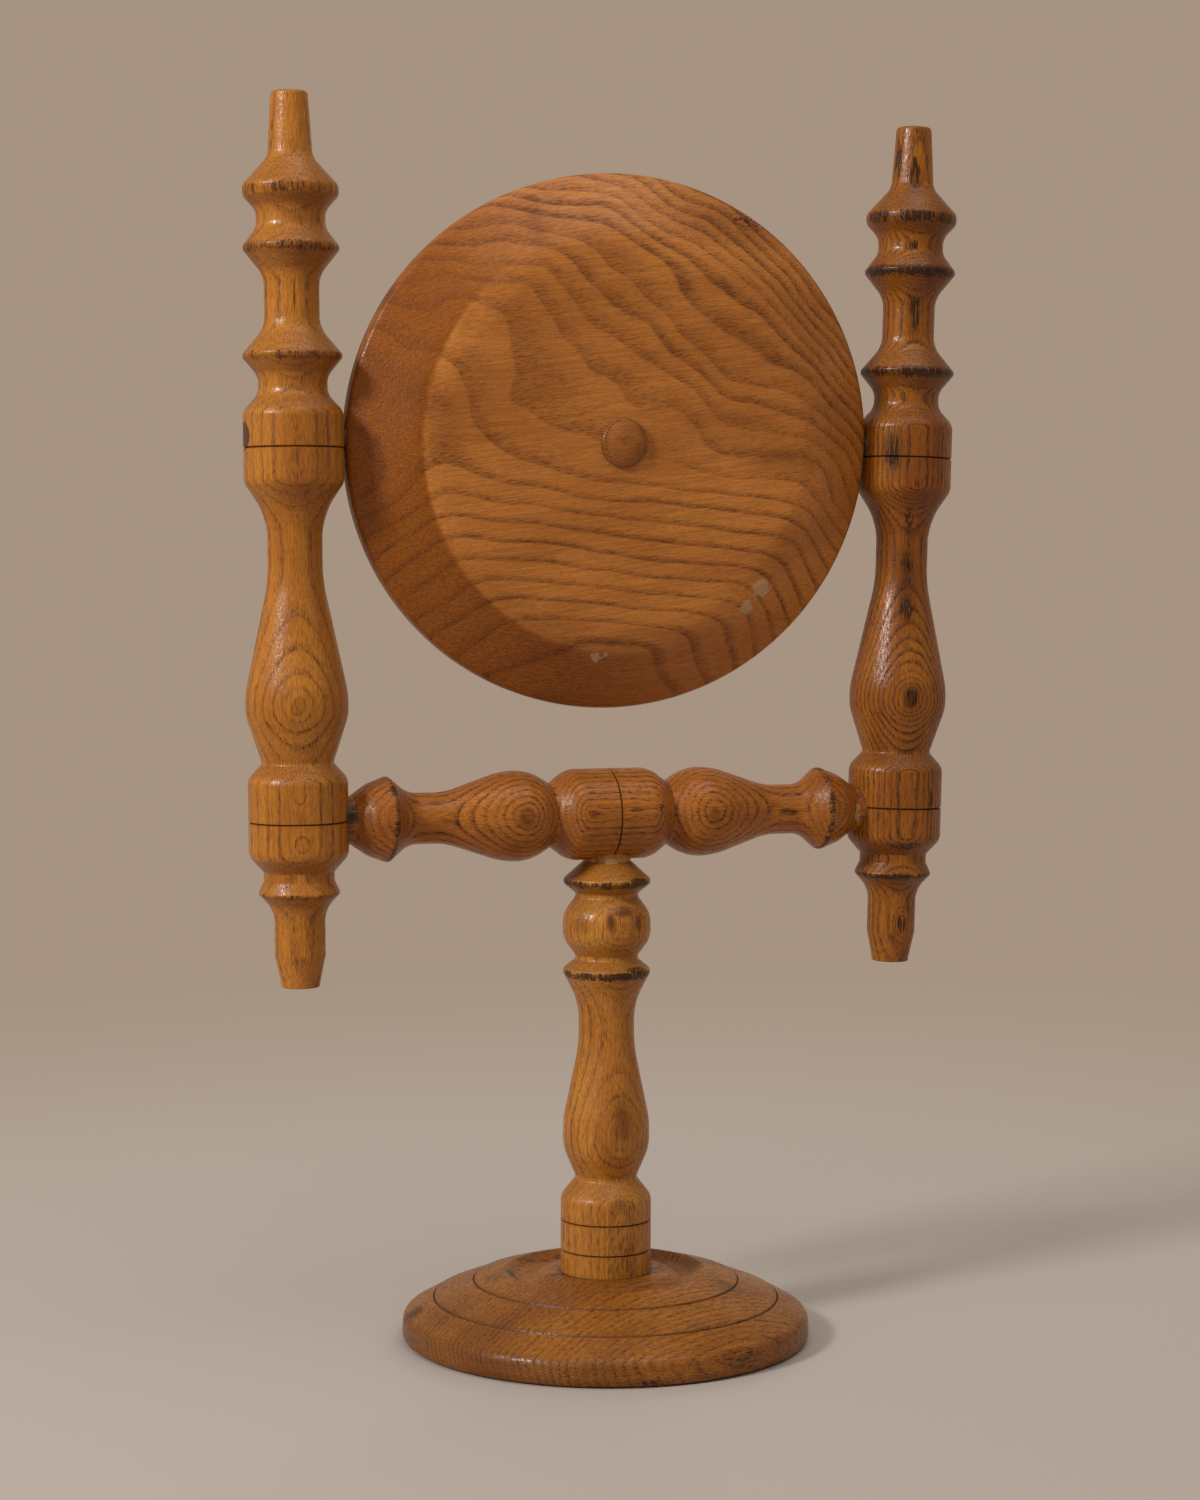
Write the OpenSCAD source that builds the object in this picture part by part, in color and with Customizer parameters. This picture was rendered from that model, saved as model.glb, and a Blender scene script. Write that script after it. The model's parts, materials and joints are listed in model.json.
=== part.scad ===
// Swivel dressing mirror in turned wood: a domed base, one stem, a crossbar, two posts and a turned
// disc that swings between them on two screws. Millimetres, +Z up, origin on the table under the
// middle of the base. The crossbar lies along X and the glass faces -Y.

/* [Mirror disc] */
// Radius of the turned disc along its grain
mirror_r = 103.6; // [95:0.2:114]
// How much the disc's half height has shrunk across its grain
shrink = 3.9; // [0.5:0.1:5]
// How far the disc's grain is turned from level, in degrees
grain_turn = 7; // [0:0.5:12]
// How far the disc's head leans back at rest, in degrees
disc_lean = 2.9; // [0:0.1:6]
// How far the disc's back stands behind the pivot line
back_depth = 18.5; // [16:0.5:22]
// Radius of the nearly flat middle of the disc's back
crown_r = 76.5; // [66:0.5:82]
// How much the middle of the back swells
crown_rise = 0.3; // [0.1:0.1:1]
// How far the thin rim reaches behind the pivot line
rim_back = 3.6; // [3:0.1:5]
// How far the thin rim reaches in front of the pivot line
rim_front = 2.4; // [2.2:0.1:4]
// Rounding of the rim's two edges
rim_round = 2.6; // [1:0.1:3.5]
// Width of the slope from the rim to the border in front
rim_slope = 7; // [5:0.1:9]
// Width of the wooden border in front, from the rim to the rebate
border_w = 18; // [16:0.1:22]
// Wood left between the pivot screws and the rebate's floor
floor_wall = 2.8; // [1:0.1:4]
// Radius of the button in the middle of the back
button_r = 9; // [7:0.5:12]
// Height of the button's dome over the back
button_h = 3.4; // [2:0.1:5]
// Radius of the button's peg
peg_r = 5; // [3.5:0.5:6]
// Length of the button's peg
peg_len = 8; // [5:0.5:10]
// How far the button sits off the middle of the disc
button_off = 1.3; // [0:0.1:2]

/* [Glass] */
// Thickness of the card behind the glass
card_t = 0.6; // [0.4:0.1:1.5]
// Thickness of the looking glass
glass_t = 2.5; // [2:0.5:4]
// Ground edge of the looking glass
glass_arris = 0.4; // [0.2:0.1:0.8]
// Thickness of the wooden bead in front of the glass
ring_t = 2.6; // [2.4:0.1:4]
// Width of the wooden bead in front of the glass
ring_w = 3.5; // [3:0.1:6]
// How far the bead lies behind the border's inner edge
ring_inset = 0.5; // [0.3:0.1:1.5]
// Number of brads that pin the bead
brad_count = 6; // [4:1:12]
// Radius of the brads
brad_r = 0.4; // [0.3:0.05:0.5]
// How far the brads reach into the disc
brad_grip = 4.5; // [3:0.5:6]

/* [Posts] */
// Gap between the disc's rim and the upper barrels
side_gap = 0.85; // [0.7:0.05:4]
// How far the left post leans outwards, in degrees
left_lean = 1.3; // [0:0.1:2]
// How far the right post leans outwards, in degrees
right_lean = 0.6; // [0:0.1:2]
// Radius of both barrels on a post
barrel_r = 18.2; // [16.5:0.1:20]
// Height of the pivot over the groove of the upper barrel
pivot_over_groove = 3.9; // [2.5:0.1:5]
// Length of the upper barrel above its groove
pivot_barrel_up = 13.2; // [12:0.1:16]
// Length of the upper barrel below its groove
pivot_barrel_down = 12.4; // [10:0.1:15]
// Length of the slope under the upper barrel
barrel_run = 12.4; // [10:0.1:16]
// Length of the lower barrel above the crossbar's axis
foot_barrel_up = 15.7; // [13:0.1:18]
// Length of the lower barrel below the crossbar's axis
foot_barrel_down = 12.5; // [11:0.1:16]
// Radius of the coves between the beads
cove_r = 12.5; // [11:0.1:14]
// Length of the coves between the beads
cove_len = 6.2; // [4:0.1:9]
// Radius of the two upper beads
bead_r = 17.4; // [15.5:0.1:19]
// Length of the flat on the two upper beads
bead_len = 3.6; // [2:0.1:6]
// Radius of the collar over the upper barrel
collar_r = 18; // [16:0.1:19.5]
// Length of the flat on the collar
collar_len = 2.8; // [1.6:0.1:6]
// Radius of the slim necks over the collar and under the upper barrel
neck_r = 10; // [8.5:0.1:11.5]
// Length of the neck over the collar
neck_len = 18.5; // [12:0.5:28]
// Radius of the finial's foot
finial_foot_r = 8.2; // [7.4:0.1:9.5]
// Radius of the finial's tip
finial_tip_r = 6.7; // [5.5:0.1:7.2]
// Length of the finial
finial_len = 23.4; // [16:0.1:32]
// Radius of the post's vase
vase_r = 18.7; // [16.5:0.1:20.5]
// Length of the vase's belly
vase_len = 7.8; // [6:0.1:11]
// Length of the slope from the neck to the vase
vase_rise = 41.1; // [34:0.1:48]
// Length of the slope from the vase to the waist
vase_run = 16.7; // [13:0.1:20]
// Radius of the waist under the vase
waist_r = 13.2; // [11.5:0.1:14.5]
// Length of the waist under the vase
waist_len = 1; // [0.5:0.1:3]
// Radius of the cove under the lower barrel
foot_cove_r = 12.9; // [11.5:0.1:13.8]
// Length of the cove under the lower barrel
foot_cove_len = 3.3; // [2:0.1:5]
// Radius of the small bead over the drop
foot_bead_r = 15; // [14:0.1:16.5]
// Length of the flat on the small bead
foot_bead_len = 2.2; // [1.5:0.1:4]
// Radius of the drop
drop_r = 9.3; // [8.2:0.1:11]
// Length of the drop's straight stretch
drop_len = 16.6; // [10:0.1:24]
// Length of the drop's taper
drop_taper = 10.5; // [7:0.1:16]
// Radius of the drop's tip
drop_tip_r = 7.1; // [5.5:0.1:8]
// Length of the drop's tip
drop_tip_len = 1.2; // [1:0.1:3]

/* [Crossbar] */
// Radius of the crossbar's middle barrel
rail_r = 17.2; // [15.5:0.1:19]
// Half length of the crossbar's middle barrel
rail_barrel_half = 15.9; // [13:0.1:18]
// Length of the slopes beside the middle barrel
rail_barrel_run = 7; // [5:0.1:9]
// Radius of the waists beside the middle barrel
rail_waist_r = 12.1; // [10.5:0.1:13.5]
// Length of the waists beside the middle barrel
rail_waist_len = 0.8; // [0.5:0.1:2]
// Radius of the crossbar's vases
rail_vase_r = 17; // [15:0.1:19]
// Length of the belly of a crossbar vase
rail_vase_len = 9.8; // [8:0.1:12]
// Length of the slope from a waist to a vase
rail_vase_rise = 8.4; // [7:0.1:10]
// Length of the slope from a vase to a slim neck
rail_vase_run = 22.4; // [18:0.1:26]
// Radius of the crossbar's slim necks
rail_neck_r = 9.5; // [8:0.1:11]
// Radius of the crossbar's cones
rail_cone_r = 16; // [14:0.1:18]
// Length of a crossbar cone's swelling side, from its crest towards the post
rail_cone_len = 7.2; // [6:0.1:8.5]
// How much a crossbar cone narrows along its swelling side
rail_cone_drop = 2.6; // [1.5:0.1:3.5]
// Length of the slope from a slim neck to a cone
rail_cone_rise = 7.8; // [6:0.1:9]
// Length of the slope from a cone's swelling side to a post
rail_cone_run = 6.5; // [5:0.1:8]
// Radius of the crossbar where it meets a post
rail_end_r = 9; // [8:0.1:11]
// Length of the crossbar's straight ends
rail_end_len = 1.3; // [0.8:0.1:3]
// Gap between the crossbar and the disc that swings over it
swing_gap = 22.8; // [12:0.1:40]

/* [Stem] */
// Length of the stem between the base and the crossbar
stem_len = 157.4; // [150:0.1:190]
// Radius of the stem where it meets the crossbar
stem_top_r = 9; // [8:0.1:11]
// Length of the stem's straight top
stem_top_len = 0.6; // [0.4:0.1:2]
// Length of the slope from the straight top to the upper bead
stem_top_run = 6.7; // [5:0.1:9]
// Radius of the two beads beside the ball
stem_bead_r = 16.4; // [14.5:0.1:18]
// Length of the flat on the two beads
stem_bead_len = 1.8; // [1.2:0.1:3]
// Length of the slopes between the beads and the coves
stem_bead_run = 3.7; // [3:0.1:5]
// Radius of the coves beside the ball
stem_cove_r = 11.9; // [10.5:0.1:13]
// Length of the coves beside the ball
stem_cove_len = 1.4; // [1:0.1:3]
// Radius of the ball
ball_r = 16.65; // [15:0.05:18]
// Length of the ball's belly
ball_len = 9.2; // [7:0.1:12]
// Length of the slopes beside the ball's belly
ball_run = 6.5; // [5:0.1:8]
// Length of the flare from the lower bead to the slim neck
stem_flare = 11.5; // [9:0.1:14]
// Radius of the stem's slim neck
stem_neck_r = 10.5; // [9:0.1:11.5]
// Radius of the stem's vase
stem_vase_r = 16.4; // [14.5:0.1:18]
// Length of the belly of the stem's vase
stem_vase_len = 10.5; // [8:0.1:14]
// Length of the slope from the slim neck to the vase
stem_vase_rise = 28.4; // [24:0.1:32]
// Length of the slope from the vase to the waist
stem_vase_run = 10.7; // [8:0.1:13]
// Radius of the waist under the stem's vase
stem_waist_r = 11.8; // [10.5:0.1:13]
// Length of the waist under the stem's vase
stem_waist_len = 1.2; // [0.8:0.1:3]
// Length of the shoulder of the stem's foot
foot_run = 6.8; // [5:0.1:9]
// Radius of the stem's foot
foot_r = 17.2; // [16:0.1:19]
// Length of the stem's foot
foot_len = 28.9; // [26:0.1:34]
// Height of the foot's lower groove over the base
foot_groove = 8.5; // [6:0.1:10]
// Distance between the foot's two grooves
foot_groove_gap = 11.4; // [8:0.1:13]

/* [Base] */
// Radius of the base
base_r = 77.6; // [72:0.1:90]
// How much the base's edge bulges
rim_bulge = 0.8; // [0.4:0.1:1.5]
// Height of the base's widest line over the wood's underside
rim_bulge_z = 2.6; // [2:0.1:4]
// Height of the top of the base's edge
rim_top = 9.6; // [8:0.1:11]
// Radius of the outer groove on the base
outer_groove_r = 65.5; // [62:0.5:67]
// Height of the base at its outer groove
outer_groove_z = 16.2; // [14.5:0.1:18]
// Radius of the inner groove on the base
inner_groove_r = 50.4; // [47:0.1:55]
// Height of the base at its inner groove
inner_groove_z = 22.4; // [20.5:0.1:23.5]
// Radius of the ridge round the dish
dish_r = 38.5; // [36.5:0.1:42]
// Height of the ridge round the dish
dish_z = 25.8; // [24.5:0.1:28]
// Height of the dish's floor
dish_floor_z = 22.2; // [20.5:0.1:23.4]
// Width of the slope from the ridge down to the dish's floor
dish_slope_w = 4.5; // [3:0.1:6]
// Radius of the raised land that the stem stands on
land_r = 24; // [22:0.1:26]
// Height of the raised land that the stem stands on
seat_z = 25.4; // [24:0.1:28]
// Radius of the felt under the base
felt_r = 70; // [60:0.5:70.5]
// Thickness of the felt
felt_t = 1.2; // [0.8:0.1:2]
// How far the felt stands below the wood
felt_proud = 0.5; // [0.3:0.1:0.7]

/* [Joints] */
// Radius of the stem's tenon in the base
stem_tenon_r = 9.5; // [7:0.5:11]
// Length of the stem's tenon in the base
stem_tenon_len = 16.2; // [12:0.1:17]
// Radius of the tenons in the crossbar and in the posts
tenon_r = 6; // [4.5:0.5:7]
// Length of the stem's tenon in the crossbar
top_tenon_len = 19; // [14:0.5:24]
// Length of the crossbar's tenons in the posts
rail_tenon_len = 22; // [15:0.5:26]
// Clearance round and behind a glued or pressed piece
glue_gap = 0.05; // [0.02:0.01:0.09]
// Clearance round a turning screw
running_gap = 0.05; // [0.02:0.01:0.09]
// Clearance between faces that slide past each other
face_gap = 0.3; // [0.2:0.05:0.5]

/* [Screws and washers] */
// Radius of a pivot screw's shank
shank_r = 2.4; // [2.1:0.1:2.8]
// Radius of a pivot screw's thread
thread_r = 2; // [1.7:0.1:2]
// Length of a pivot screw's thread in the disc
thread_len = 22; // [16:0.5:28]
// Radius of a pivot screw's head
head_r = 4.3; // [3.8:0.1:4.6]
// Height of a pivot screw's head
head_h = 2.6; // [2:0.1:3.4]
// Thickness of the washers under the screw heads
head_washer_t = 0.8; // [0.5:0.1:1.5]
// Radius of the leather washers between the disc and the barrels
friction_washer_r = 4; // [3.6:0.1:6]
// Radius of the pellets over the screw heads
pellet_r = 5; // [4.8:0.1:5.6]
// Length of the pellets at their middle
pellet_len = 5.4; // [4:0.1:7]
// Radius of the base screw's shank
base_shank_r = 2.2; // [1.8:0.1:2.6]
// Length of the base screw
base_screw_len = 38; // [30:0.5:50]
// Length of the base screw's thread
base_thread_len = 20; // [14:0.5:24]
// Radius of the base screw's countersunk head
countersink_r = 4.4; // [3.6:0.1:5]
// Height of the base screw's countersunk head
countersink_h = 2.6; // [2:0.1:3.2]
// Pitch of the screw threads
thread_pitch = 2; // [1.5:0.1:3]
// Width of the slots in the screw heads
slot_w = 1; // [0.7:0.1:1.3]
// Depth of the slots in the screw heads
slot_d = 1.1; // [0.8:0.1:1.5]

/* [Turning] */
// Length of a shoulder along the axis for each millimetre of its height
shoulder = 1.1; // [0.9:0.05:1.15]
// Width of a scribed groove
groove_w = 0.8; // [0.5:0.1:1.2]
// Depth of a scribed groove
groove_d = 0.8; // [0.4:0.1:1.2]
// Rounding of the posts' uppermost beads
bead_round = 3; // [2:0.1:5]
// Length of the flat on a crisp bead
crest_len = 1.4; // [0.8:0.1:2]
// Rounding of the crisp beads' crests
crest_round = 1.2; // [0.6:0.1:2.5]
// Rounding of the posts' coves
cove_round = 6; // [2:0.1:8]
// Rounding of the posts' straight necks over the collars and of the cones' necks
neck_round = 10; // [6:0.5:14]
// Rounding of the small beads on the stem
small_bead_round = 1; // [0.6:0.1:2.5]
// Rounding of the small coves and waists
waist_round = 1.4; // [0.8:0.1:3]
// Rounding of the barrels' corners
barrel_round = 5; // [1:0.1:8]
// Rounding of the crossbar's middle barrel
rail_round = 9; // [4:0.5:12]
// Rounding of the drops' corners and of the base's edge
cone_round = 4; // [2:0.1:6]
// Rounding of the ball
ball_round = 9; // [6:0.5:12]
// Rounding where a slope runs into a slim neck
hollow_round = 24; // [12:0.5:32]
// Rounding where a slim neck opens towards a vase
flare_round = 50; // [30:1:80]
// Rounding of the vases' bellies on their long side
belly_round = 28; // [16:0.5:40]
// Rounding of the vases' bellies on their short side
shoulder_round = 16; // [10:0.5:24]

/* [Hidden] */
$fn = 128;

// Largest turn of one step along a rounded corner, in degrees, and its largest length
arc_step = 10;
arc_length = 4;
// A cut runs this far past the face that it opens, and a joined cylinder this far into its neighbour
past = 1;
bite = 0.01;

// Heights that follow from the sizes above
rail_z = seat_z + stem_len + rail_r;
rise = rail_r + swing_gap + mirror_r - shrink;
pivot_z = rail_z + rise;
groove_rise = rise - pivot_over_groove;

// The pivot line meets the oval rim this far from the middle of the disc
pivot_reach = sqrt(pow(mirror_r, 2) - pow(shrink * cos(grain_turn), 2)) - shrink * sin(grain_turn);
barrel_in = pivot_reach + side_gap;

// The disc hangs in the middle between the barrels of the leaning posts
function lean(side) = side < 0 ? left_lean : right_lean;
function reach(side) = rise * tan(lean(side)) - barrel_r / cos(lean(side));
post_x = barrel_in - (reach(-1) + reach(1)) / 2;
disc_x = (reach(1) - reach(-1)) / 2;

// The stack in the rebate, measured along Y from the pivot line
rebate_r = mirror_r - border_w;
card_r = rebate_r - 2 * glue_gap;
floor_y = -(thread_r + floor_wall);
glass_back_y = floor_y - card_t - 2 * glue_gap;
ring_back_y = glass_back_y - glass_t - glue_gap;
ring_face_y = ring_back_y - ring_t;
lip_y = ring_face_y - ring_inset;
front_y = lip_y - groove_d;

// Places along the pivot line, measured from the middle of the disc
spot_past = 0.1;
barrel_out = barrel_in + 2 * barrel_r;
washer_sagitta = barrel_r - sqrt(pow(barrel_r, 2) - pow(friction_washer_r + glue_gap, 2));
washer_seat = barrel_in + washer_sagitta + spot_past;
pellet_in = barrel_out - pellet_len;
head_in = pellet_in - face_gap - head_h;
head_seat = head_in - face_gap - head_washer_t;

oak = "#8c5723";
oak_dark = "#784520";
brass = "#b08d4a";
steel = "#9a9c9e";
leather = "#5a3a22";

// Rounds the corner at b of the path a, b, c with an arc that its two sides have room for
function unit(v) = v / norm(v);
function turn(a, b, c) = sign((b[0] - a[0]) * (c[1] - b[1]) - (b[1] - a[1]) * (c[0] - b[0]));
function arc(centre, radius, from, sweep) =
    let (steps = max(2, ceil(max(abs(sweep) / arc_step, radius * abs(sweep) * PI / 180 / arc_length))))
    [for (k = [0:steps]) centre + radius * [cos(from + sweep * k / steps), sin(from + sweep * k / steps)]];
function half_angle(a, b, c) = acos(max(-1, min(1, unit(a - b) * unit(c - b)))) / 2;
function corner(a, b, c, radius) = radius == 0 ? [b] :
    let (half = half_angle(a, b, c),
         side = min(radius / tan(half), 0.49 * norm(a - b), 0.49 * norm(c - b)),
         r = side * tan(half),
         centre = b + unit(unit(a - b) + unit(c - b)) * r / sin(half),
         start = b + unit(a - b) * side - centre)
    arc(centre, r, atan2(start[1], start[0]), turn(a, b, c) * (180 - 2 * half));

// The smooth outline through marks of the form [radius, place, rounding]
function at(mark) = [mark[0], mark[1]];
function outline(marks) = [for (i = [0:len(marks) - 1])
    each (i == 0 || i == len(marks) - 1) ? [at(marks[i])] :
         corner(at(marks[i - 1]), at(marks[i]), at(marks[i + 1]), marks[i][2])];

// Marks of a row of turned elements [radius, length, rounding, run to the next], laid out from a
// place in one direction. Without a run, the shoulder to the next element has the common slope.
// A rounding may be a pair, for the element's near and far corner.
function run(row, i) = i + 1 == len(row) ? 0 :
    is_undef(row[i][3]) ? shoulder * abs(row[i + 1][0] - row[i][0]) : row[i][3];
function row_length(row, i = 0) = i == len(row) ? 0 : row[i][1] + run(row, i) + row_length(row, i + 1);
function near(rounding) = is_list(rounding) ? rounding[0] : rounding;
function far(rounding) = is_list(rounding) ? rounding[1] : rounding;
function laid(row, place, way, i = 0) = i == len(row) ? [] : concat(
    [[row[i][0], place, i == 0 ? 0 : near(row[i][2])]],
    row[i][1] == 0 ? [] : [[row[i][0], place + way * row[i][1], far(row[i][2])]],
    laid(row, place + way * (row[i][1] + run(row, i)), way, i + 1));
function backwards(marks) = [for (i = [len(marks) - 1:-1:0]) marks[i]];
function mirrored(marks) = [for (mark = marks) [mark[0], -mark[1], mark[2]]];
function groove_bottom(radius, place) = [[radius - groove_d, place, 0]];

// A solid of revolution about Z, closed along its axis
module turned(marks) {
    ends = [[0, marks[0][1], 0], [0, marks[len(marks) - 1][1], 0]];
    rotate_extrude() polygon(outline(concat([ends[0]], marks, [ends[1]])));
}

// Puts what is built along Z on the crossbar's axis, a post's axis, the disc's axis or the pivot line
module on_rail() {
    translate([0, 0, rail_z]) rotate([0, 90, 0]) children();
}

module on_post(side) {
    translate([side * post_x, 0, rail_z]) rotate([0, side * lean(side), 0]) children();
}

module on_disc() {
    translate([disc_x, 0, pivot_z]) rotate([-90 - disc_lean, 0, 0]) children();
}

module on_pivot(side) {
    translate([disc_x, 0, pivot_z]) mirror([side < 0 ? 1 : 0, 0, 0]) rotate([0, 90, 0]) children();
}

module rod(radius, from, to) {
    translate([0, 0, from]) cylinder(r = radius, h = to - from);
}

module washer(outer, inner, from, to) {
    difference() {
        rod(outer, from, to);
        rod(inner, from - past, to + past);
    }
}

// A wood screw's thread from its tip: a point, then rings round a thinner core
module screw_thread(radius, length) {
    core_r = 0.75 * radius;
    rings = floor(length / thread_pitch) - 2;
    point_len = length - rings * thread_pitch;
    rotate_extrude() polygon(concat(
        [[0, 0], [core_r, point_len]],
        [for (k = [0:rings - 1]) each [[radius, point_len + (k + 0.5) * thread_pitch],
                                       [core_r, point_len + (k + 1) * thread_pitch]]],
        [[0, length]]));
}

// Base: a rounded edge, two bands parted by stepped grooves, a ridge, a dish and a land for the stem
base_screw_z = felt_t + glue_gap;
function stepped_groove(radius, z) = [
    [radius + groove_w / 2, z - groove_d / 2, 0],
    [radius, z - groove_d, 0],
    [radius - groove_w / 2, z + groove_d / 4, 0]];
function base_marks() = concat(
    [[felt_r + glue_gap, felt_t, 0],
     [felt_r + glue_gap, felt_proud, 0],
     [base_r - rim_bulge, felt_proud, waist_round],
     [base_r, felt_proud + rim_bulge_z, cone_round],
     [base_r - rim_bulge / 2, rim_top, cone_round]],
    stepped_groove(outer_groove_r, outer_groove_z),
    stepped_groove(inner_groove_r, inner_groove_z),
    [[dish_r, dish_z, waist_round],
     [dish_r - dish_slope_w, dish_floor_z + groove_d, cove_round],
     [(dish_r + land_r) / 2 - groove_w, dish_floor_z, cove_round],
     [land_r, seat_z, cove_round],
     [foot_r, seat_z, 0]]);

module base() {
    color(oak) difference() {
        turned(base_marks());
        rod(stem_tenon_r + glue_gap, seat_z - stem_tenon_len - glue_gap, seat_z + past);
        rod(base_shank_r + glue_gap, 0, seat_z);
        rod(countersink_r + glue_gap, 0, base_screw_z);
        translate([0, 0, base_screw_z])
            cylinder(r1 = countersink_r + glue_gap, r2 = base_shank_r + glue_gap, h = countersink_h);
    }
}

module base_felt() {
    color("#2f4a33") rod(felt_r, 0, felt_t);
}

// Base screw: countersunk head down, thread up into the stem's tenon
module base_screw() {
    color(steel) translate([0, 0, base_screw_z]) difference() {
        union() {
            cylinder(r1 = countersink_r, r2 = base_shank_r, h = countersink_h);
            rod(base_shank_r, countersink_h - bite, base_screw_len - base_thread_len + bite);
            translate([0, 0, base_screw_len]) mirror([0, 0, 1]) screw_thread(base_shank_r, base_thread_len);
        }
        translate([-countersink_r, -slot_w / 2, -past]) cube([2 * countersink_r, slot_w, slot_d + past]);
    }
}

// Stem: from the crossbar down to the base. The slim neck takes up what the other elements leave.
foot_lower_z = seat_z + foot_groove;
foot_upper_z = foot_lower_z + foot_groove_gap;
stem_top_z = rail_z - rail_r;
function stem_row(neck) = [
    [stem_top_r, stem_top_len, waist_round, stem_top_run],
    [stem_bead_r, stem_bead_len, small_bead_round, stem_bead_run],
    [stem_cove_r, stem_cove_len, waist_round, ball_run],
    [ball_r, ball_len, ball_round, ball_run],
    [stem_cove_r, stem_cove_len, waist_round, stem_bead_run],
    [stem_bead_r, stem_bead_len, small_bead_round, stem_flare],
    [stem_neck_r, neck, [hollow_round, flare_round], stem_vase_rise],
    [stem_vase_r, stem_vase_len, [belly_round, shoulder_round], stem_vase_run],
    [stem_waist_r, stem_waist_len, waist_round, foot_run],
    [foot_r, foot_len - foot_groove - foot_groove_gap - groove_w / 2, [barrel_round, 0]]];
function stem_marks() = concat(
    laid(stem_row(stem_top_z - foot_upper_z - groove_w / 2 - row_length(stem_row(0))), stem_top_z, -1),
    groove_bottom(foot_r, foot_upper_z),
    [[foot_r, foot_upper_z - groove_w / 2, 0], [foot_r, foot_lower_z + groove_w / 2, 0]],
    groove_bottom(foot_r, foot_lower_z),
    [[foot_r, foot_lower_z - groove_w / 2, 0], [foot_r, seat_z, 0]]);

module stem() {
    color(oak) difference() {
        union() {
            difference() {
                union() {
                    turned(stem_marks());
                    rod(stem_top_r, stem_top_z - bite, rail_z);
                }
                on_rail() rod(rail_r, -rail_r, rail_r);
            }
            rod(tenon_r, stem_top_z - past, stem_top_z + top_tenon_len);
            rod(stem_tenon_r, seat_z - stem_tenon_len, seat_z + past);
        }
        rod(base_shank_r + glue_gap, 0, base_screw_z + base_screw_len + glue_gap);
    }
}

// Crossbar: half of it laid out from the middle to a post, then mirrored. Its slim necks take up
// what the other elements leave, and its ends are hollowed to sit on the round barrels.
rail_shoulder_x = post_x - barrel_r;
function rail_row(neck) = [
    [rail_r, rail_barrel_half - groove_w / 2, rail_round, rail_barrel_run],
    [rail_waist_r, rail_waist_len, waist_round, rail_vase_rise],
    [rail_vase_r, rail_vase_len, [shoulder_round, belly_round], rail_vase_run],
    [rail_neck_r, neck, [hollow_round, neck_round], rail_cone_rise],
    [rail_cone_r, 0, crest_round, rail_cone_len],
    [rail_cone_r - rail_cone_drop, 0, rail_round, rail_cone_run],
    [rail_end_r, rail_end_len, [waist_round, 0]]];
rail_neck_len = rail_shoulder_x - groove_w / 2 - row_length(rail_row(0));
function half_rail() = laid(rail_row(rail_neck_len), groove_w / 2, 1);
function rail_marks() = concat(
    backwards(mirrored(half_rail())), groove_bottom(rail_r, 0), half_rail());

module crossbar() {
    tenon_end = rail_shoulder_x + rail_tenon_len;
    color(oak) difference() {
        union() {
            difference() {
                on_rail() {
                    turned(rail_marks());
                    rod(rail_end_r, -post_x, post_x);
                }
                for (side = [-1, 1]) on_post(side) rod(barrel_r, -foot_barrel_down, foot_barrel_up);
            }
            on_rail() rod(tenon_r, -tenon_end, tenon_end);
        }
        rod(tenon_r + glue_gap, rail_z - 2 * rail_r, stem_top_z + top_tenon_len + glue_gap);
    }
}

// Posts: laid out from the upper barrel's groove to the finial, from there down to the lower
// barrel's groove on the crossbar's axis, and from that to the drop. The neck under the upper
// barrel takes up the rest. A crisp bead gives what its flat is short of to the slopes beside it.
function eased(low, high, flat) = shoulder * (high - low) + (flat - crest_len) / 2;
function rise_row() = [
    [barrel_r, pivot_barrel_up - groove_w / 2, barrel_round],
    [cove_r, cove_len, cove_round, eased(cove_r, collar_r, collar_len)],
    [collar_r, crest_len, crest_round, eased(neck_r, collar_r, collar_len)],
    [neck_r, neck_len, neck_round, eased(neck_r, bead_r, bead_len)],
    [bead_r, crest_len, crest_round, eased(cove_r, bead_r, bead_len)],
    [cove_r, cove_len, cove_round],
    [bead_r, bead_len, bead_round],
    [finial_foot_r, 0, cove_round, finial_len],
    [finial_tip_r, 0, crest_round]];
function body_row(neck) = [
    [barrel_r, pivot_barrel_down - groove_w / 2, barrel_round, barrel_run],
    [neck_r, neck, [hollow_round, flare_round], vase_rise],
    [vase_r, vase_len, [belly_round, shoulder_round], vase_run],
    [waist_r, waist_len, waist_round],
    [barrel_r, foot_barrel_up - groove_w / 2, [barrel_round, 0]]];
function drop_row() = [
    [barrel_r, foot_barrel_down - groove_w / 2, barrel_round],
    [foot_cove_r, foot_cove_len, waist_round, shoulder * (foot_bead_r - foot_cove_r) + foot_bead_len],
    [foot_bead_r, 0, crest_round],
    [drop_r, drop_len, [neck_round, cone_round], drop_taper],
    [drop_tip_r, drop_tip_len, [cone_round, waist_round]]];
body_neck_len = groove_rise - groove_w - row_length(body_row(0));
function post_marks() = concat(
    backwards(laid(rise_row(), groove_rise + groove_w / 2, 1)),
    groove_bottom(barrel_r, groove_rise),
    laid(body_row(body_neck_len), groove_rise - groove_w / 2, -1),
    groove_bottom(barrel_r, 0),
    laid(drop_row(), -groove_w / 2, -1));

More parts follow.
